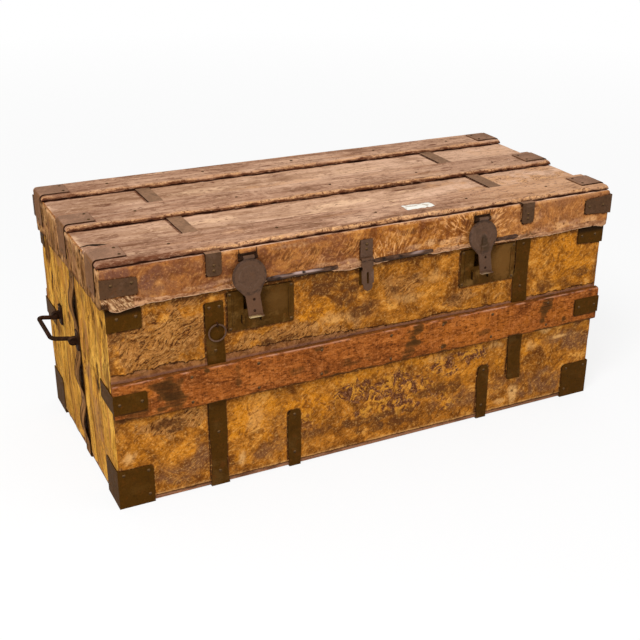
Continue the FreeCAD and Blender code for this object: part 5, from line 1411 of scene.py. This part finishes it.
def camera():
    """The photograph's viewpoint, fitted to the trunk's corners."""
    turn, tilt, roll = (math.radians(value) for value in (27.852, 24.486, 1.092))
    ahead = np.array([math.sin(turn) * math.cos(tilt), math.cos(turn) * math.cos(tilt), -math.sin(tilt)])
    right = np.array([math.cos(turn), -math.sin(turn), 0])
    up = np.cross(right, ahead)
    rolled_right = right * math.cos(roll) + up * math.sin(roll)
    rolled_up = up * math.cos(roll) - right * math.sin(roll)
    data = bpy.data.cameras.new("camera")
    data.lens = 60.18
    data.sensor_width = 36.0
    data.shift_x = -0.0469
    data.shift_y = 0.0016
    data.clip_end = 50.0
    seen = placed("camera", data)
    place = (-0.778289, -1.565328 + MID_Y, 0.947261)
    rows = [[rolled_right[i], rolled_up[i], -ahead[i], place[i]] for i in range(3)] + [[0, 0, 0, 1]]
    seen.matrix_world = Matrix(rows)
    bpy.context.scene.camera = seen


def lamp(name, place, aim, size, power):
    """A round lamp turned to a point."""
    data = bpy.data.lights.new(name, "AREA")
    data.shape = "DISK"
    data.size = size
    data.energy = power
    light = placed(name, data)
    light.location = place
    light.rotation_euler = (Vector(aim) - Vector(place)).to_track_quat("-Z", "Y").to_euler()


def surroundings():
    """A pale floor that keeps the trunk's shadow, under an even white world."""
    reach = 12.0
    mesh = bpy.data.meshes.new("floor")
    corners = [(-reach, -reach, 0), (reach, -reach, 0), (reach, reach, 0), (-reach, reach, 0)]
    mesh.from_pydata(corners, [], [(0, 1, 2, 3)])
    placed("floor", mesh)
    material = bpy.data.materials.new("floor")
    material.use_nodes = True
    mesh.materials.append(material)
    tree = material.node_tree
    tree.nodes.clear()
    rays = add_node(tree, "ShaderNodeLightPath").outputs
    seen = add_node(tree, "ShaderNodeMath", {0: rays["Is Camera Ray"], 1: rays["Is Glossy Ray"]},
                    operation="MAXIMUM").outputs[0]
    place = add_node(tree, "ShaderNodeNewGeometry").outputs["Position"]
    away = add_node(tree, "ShaderNodeVectorMath", {0: place}, operation="LENGTH").outputs["Value"]
    fade = add_node(tree, "ShaderNodeMapRange", {
        "Value": away, "From Min": 0.9, "From Max": 4.0, "To Min": 0.8, "To Max": 1.0}).outputs["Result"]
    share = add_node(tree, "ShaderNodeMath", {0: seen, 1: fade}, operation="MULTIPLY").outputs[0]
    diffuse = add_node(tree, "ShaderNodeBsdfDiffuse", {"Color": (0.86, 0.86, 0.86, 1)}).outputs[0]
    glow = add_node(tree, "ShaderNodeEmission", {"Color": (1, 1, 1, 1)}).outputs[0]
    mixed = add_node(tree, "ShaderNodeMixShader", {"Fac": share, 1: diffuse, 2: glow}).outputs[0]
    add_node(tree, "ShaderNodeOutputMaterial", {"Surface": mixed})
    world = bpy.data.worlds.new("world")
    bpy.context.scene.world = world
    world.use_nodes = True
    tree = world.node_tree
    background = tree.nodes["Background"]
    background.inputs["Color"].default_value = (1, 1, 1, 1)
    seen = add_node(tree, "ShaderNodeLightPath").outputs["Is Camera Ray"]
    level = add_node(tree, "ShaderNodeMapRange", {"Value": seen, "To Min": 0.62, "To Max": 1.0})
    tree.links.new(level.outputs["Result"], background.inputs["Strength"])


camera()
lamp("key", (-1.5, -1.4, 2.6), (0.0, 0.0, 0.2), 1.2, 68.0)
lamp("fill", (2.2, -2.2, 1.6), (0.0, 0.0, 0.2), 2.2, 10.0)
surroundings()
bpy.context.scene.view_settings.view_transform = "Standard"
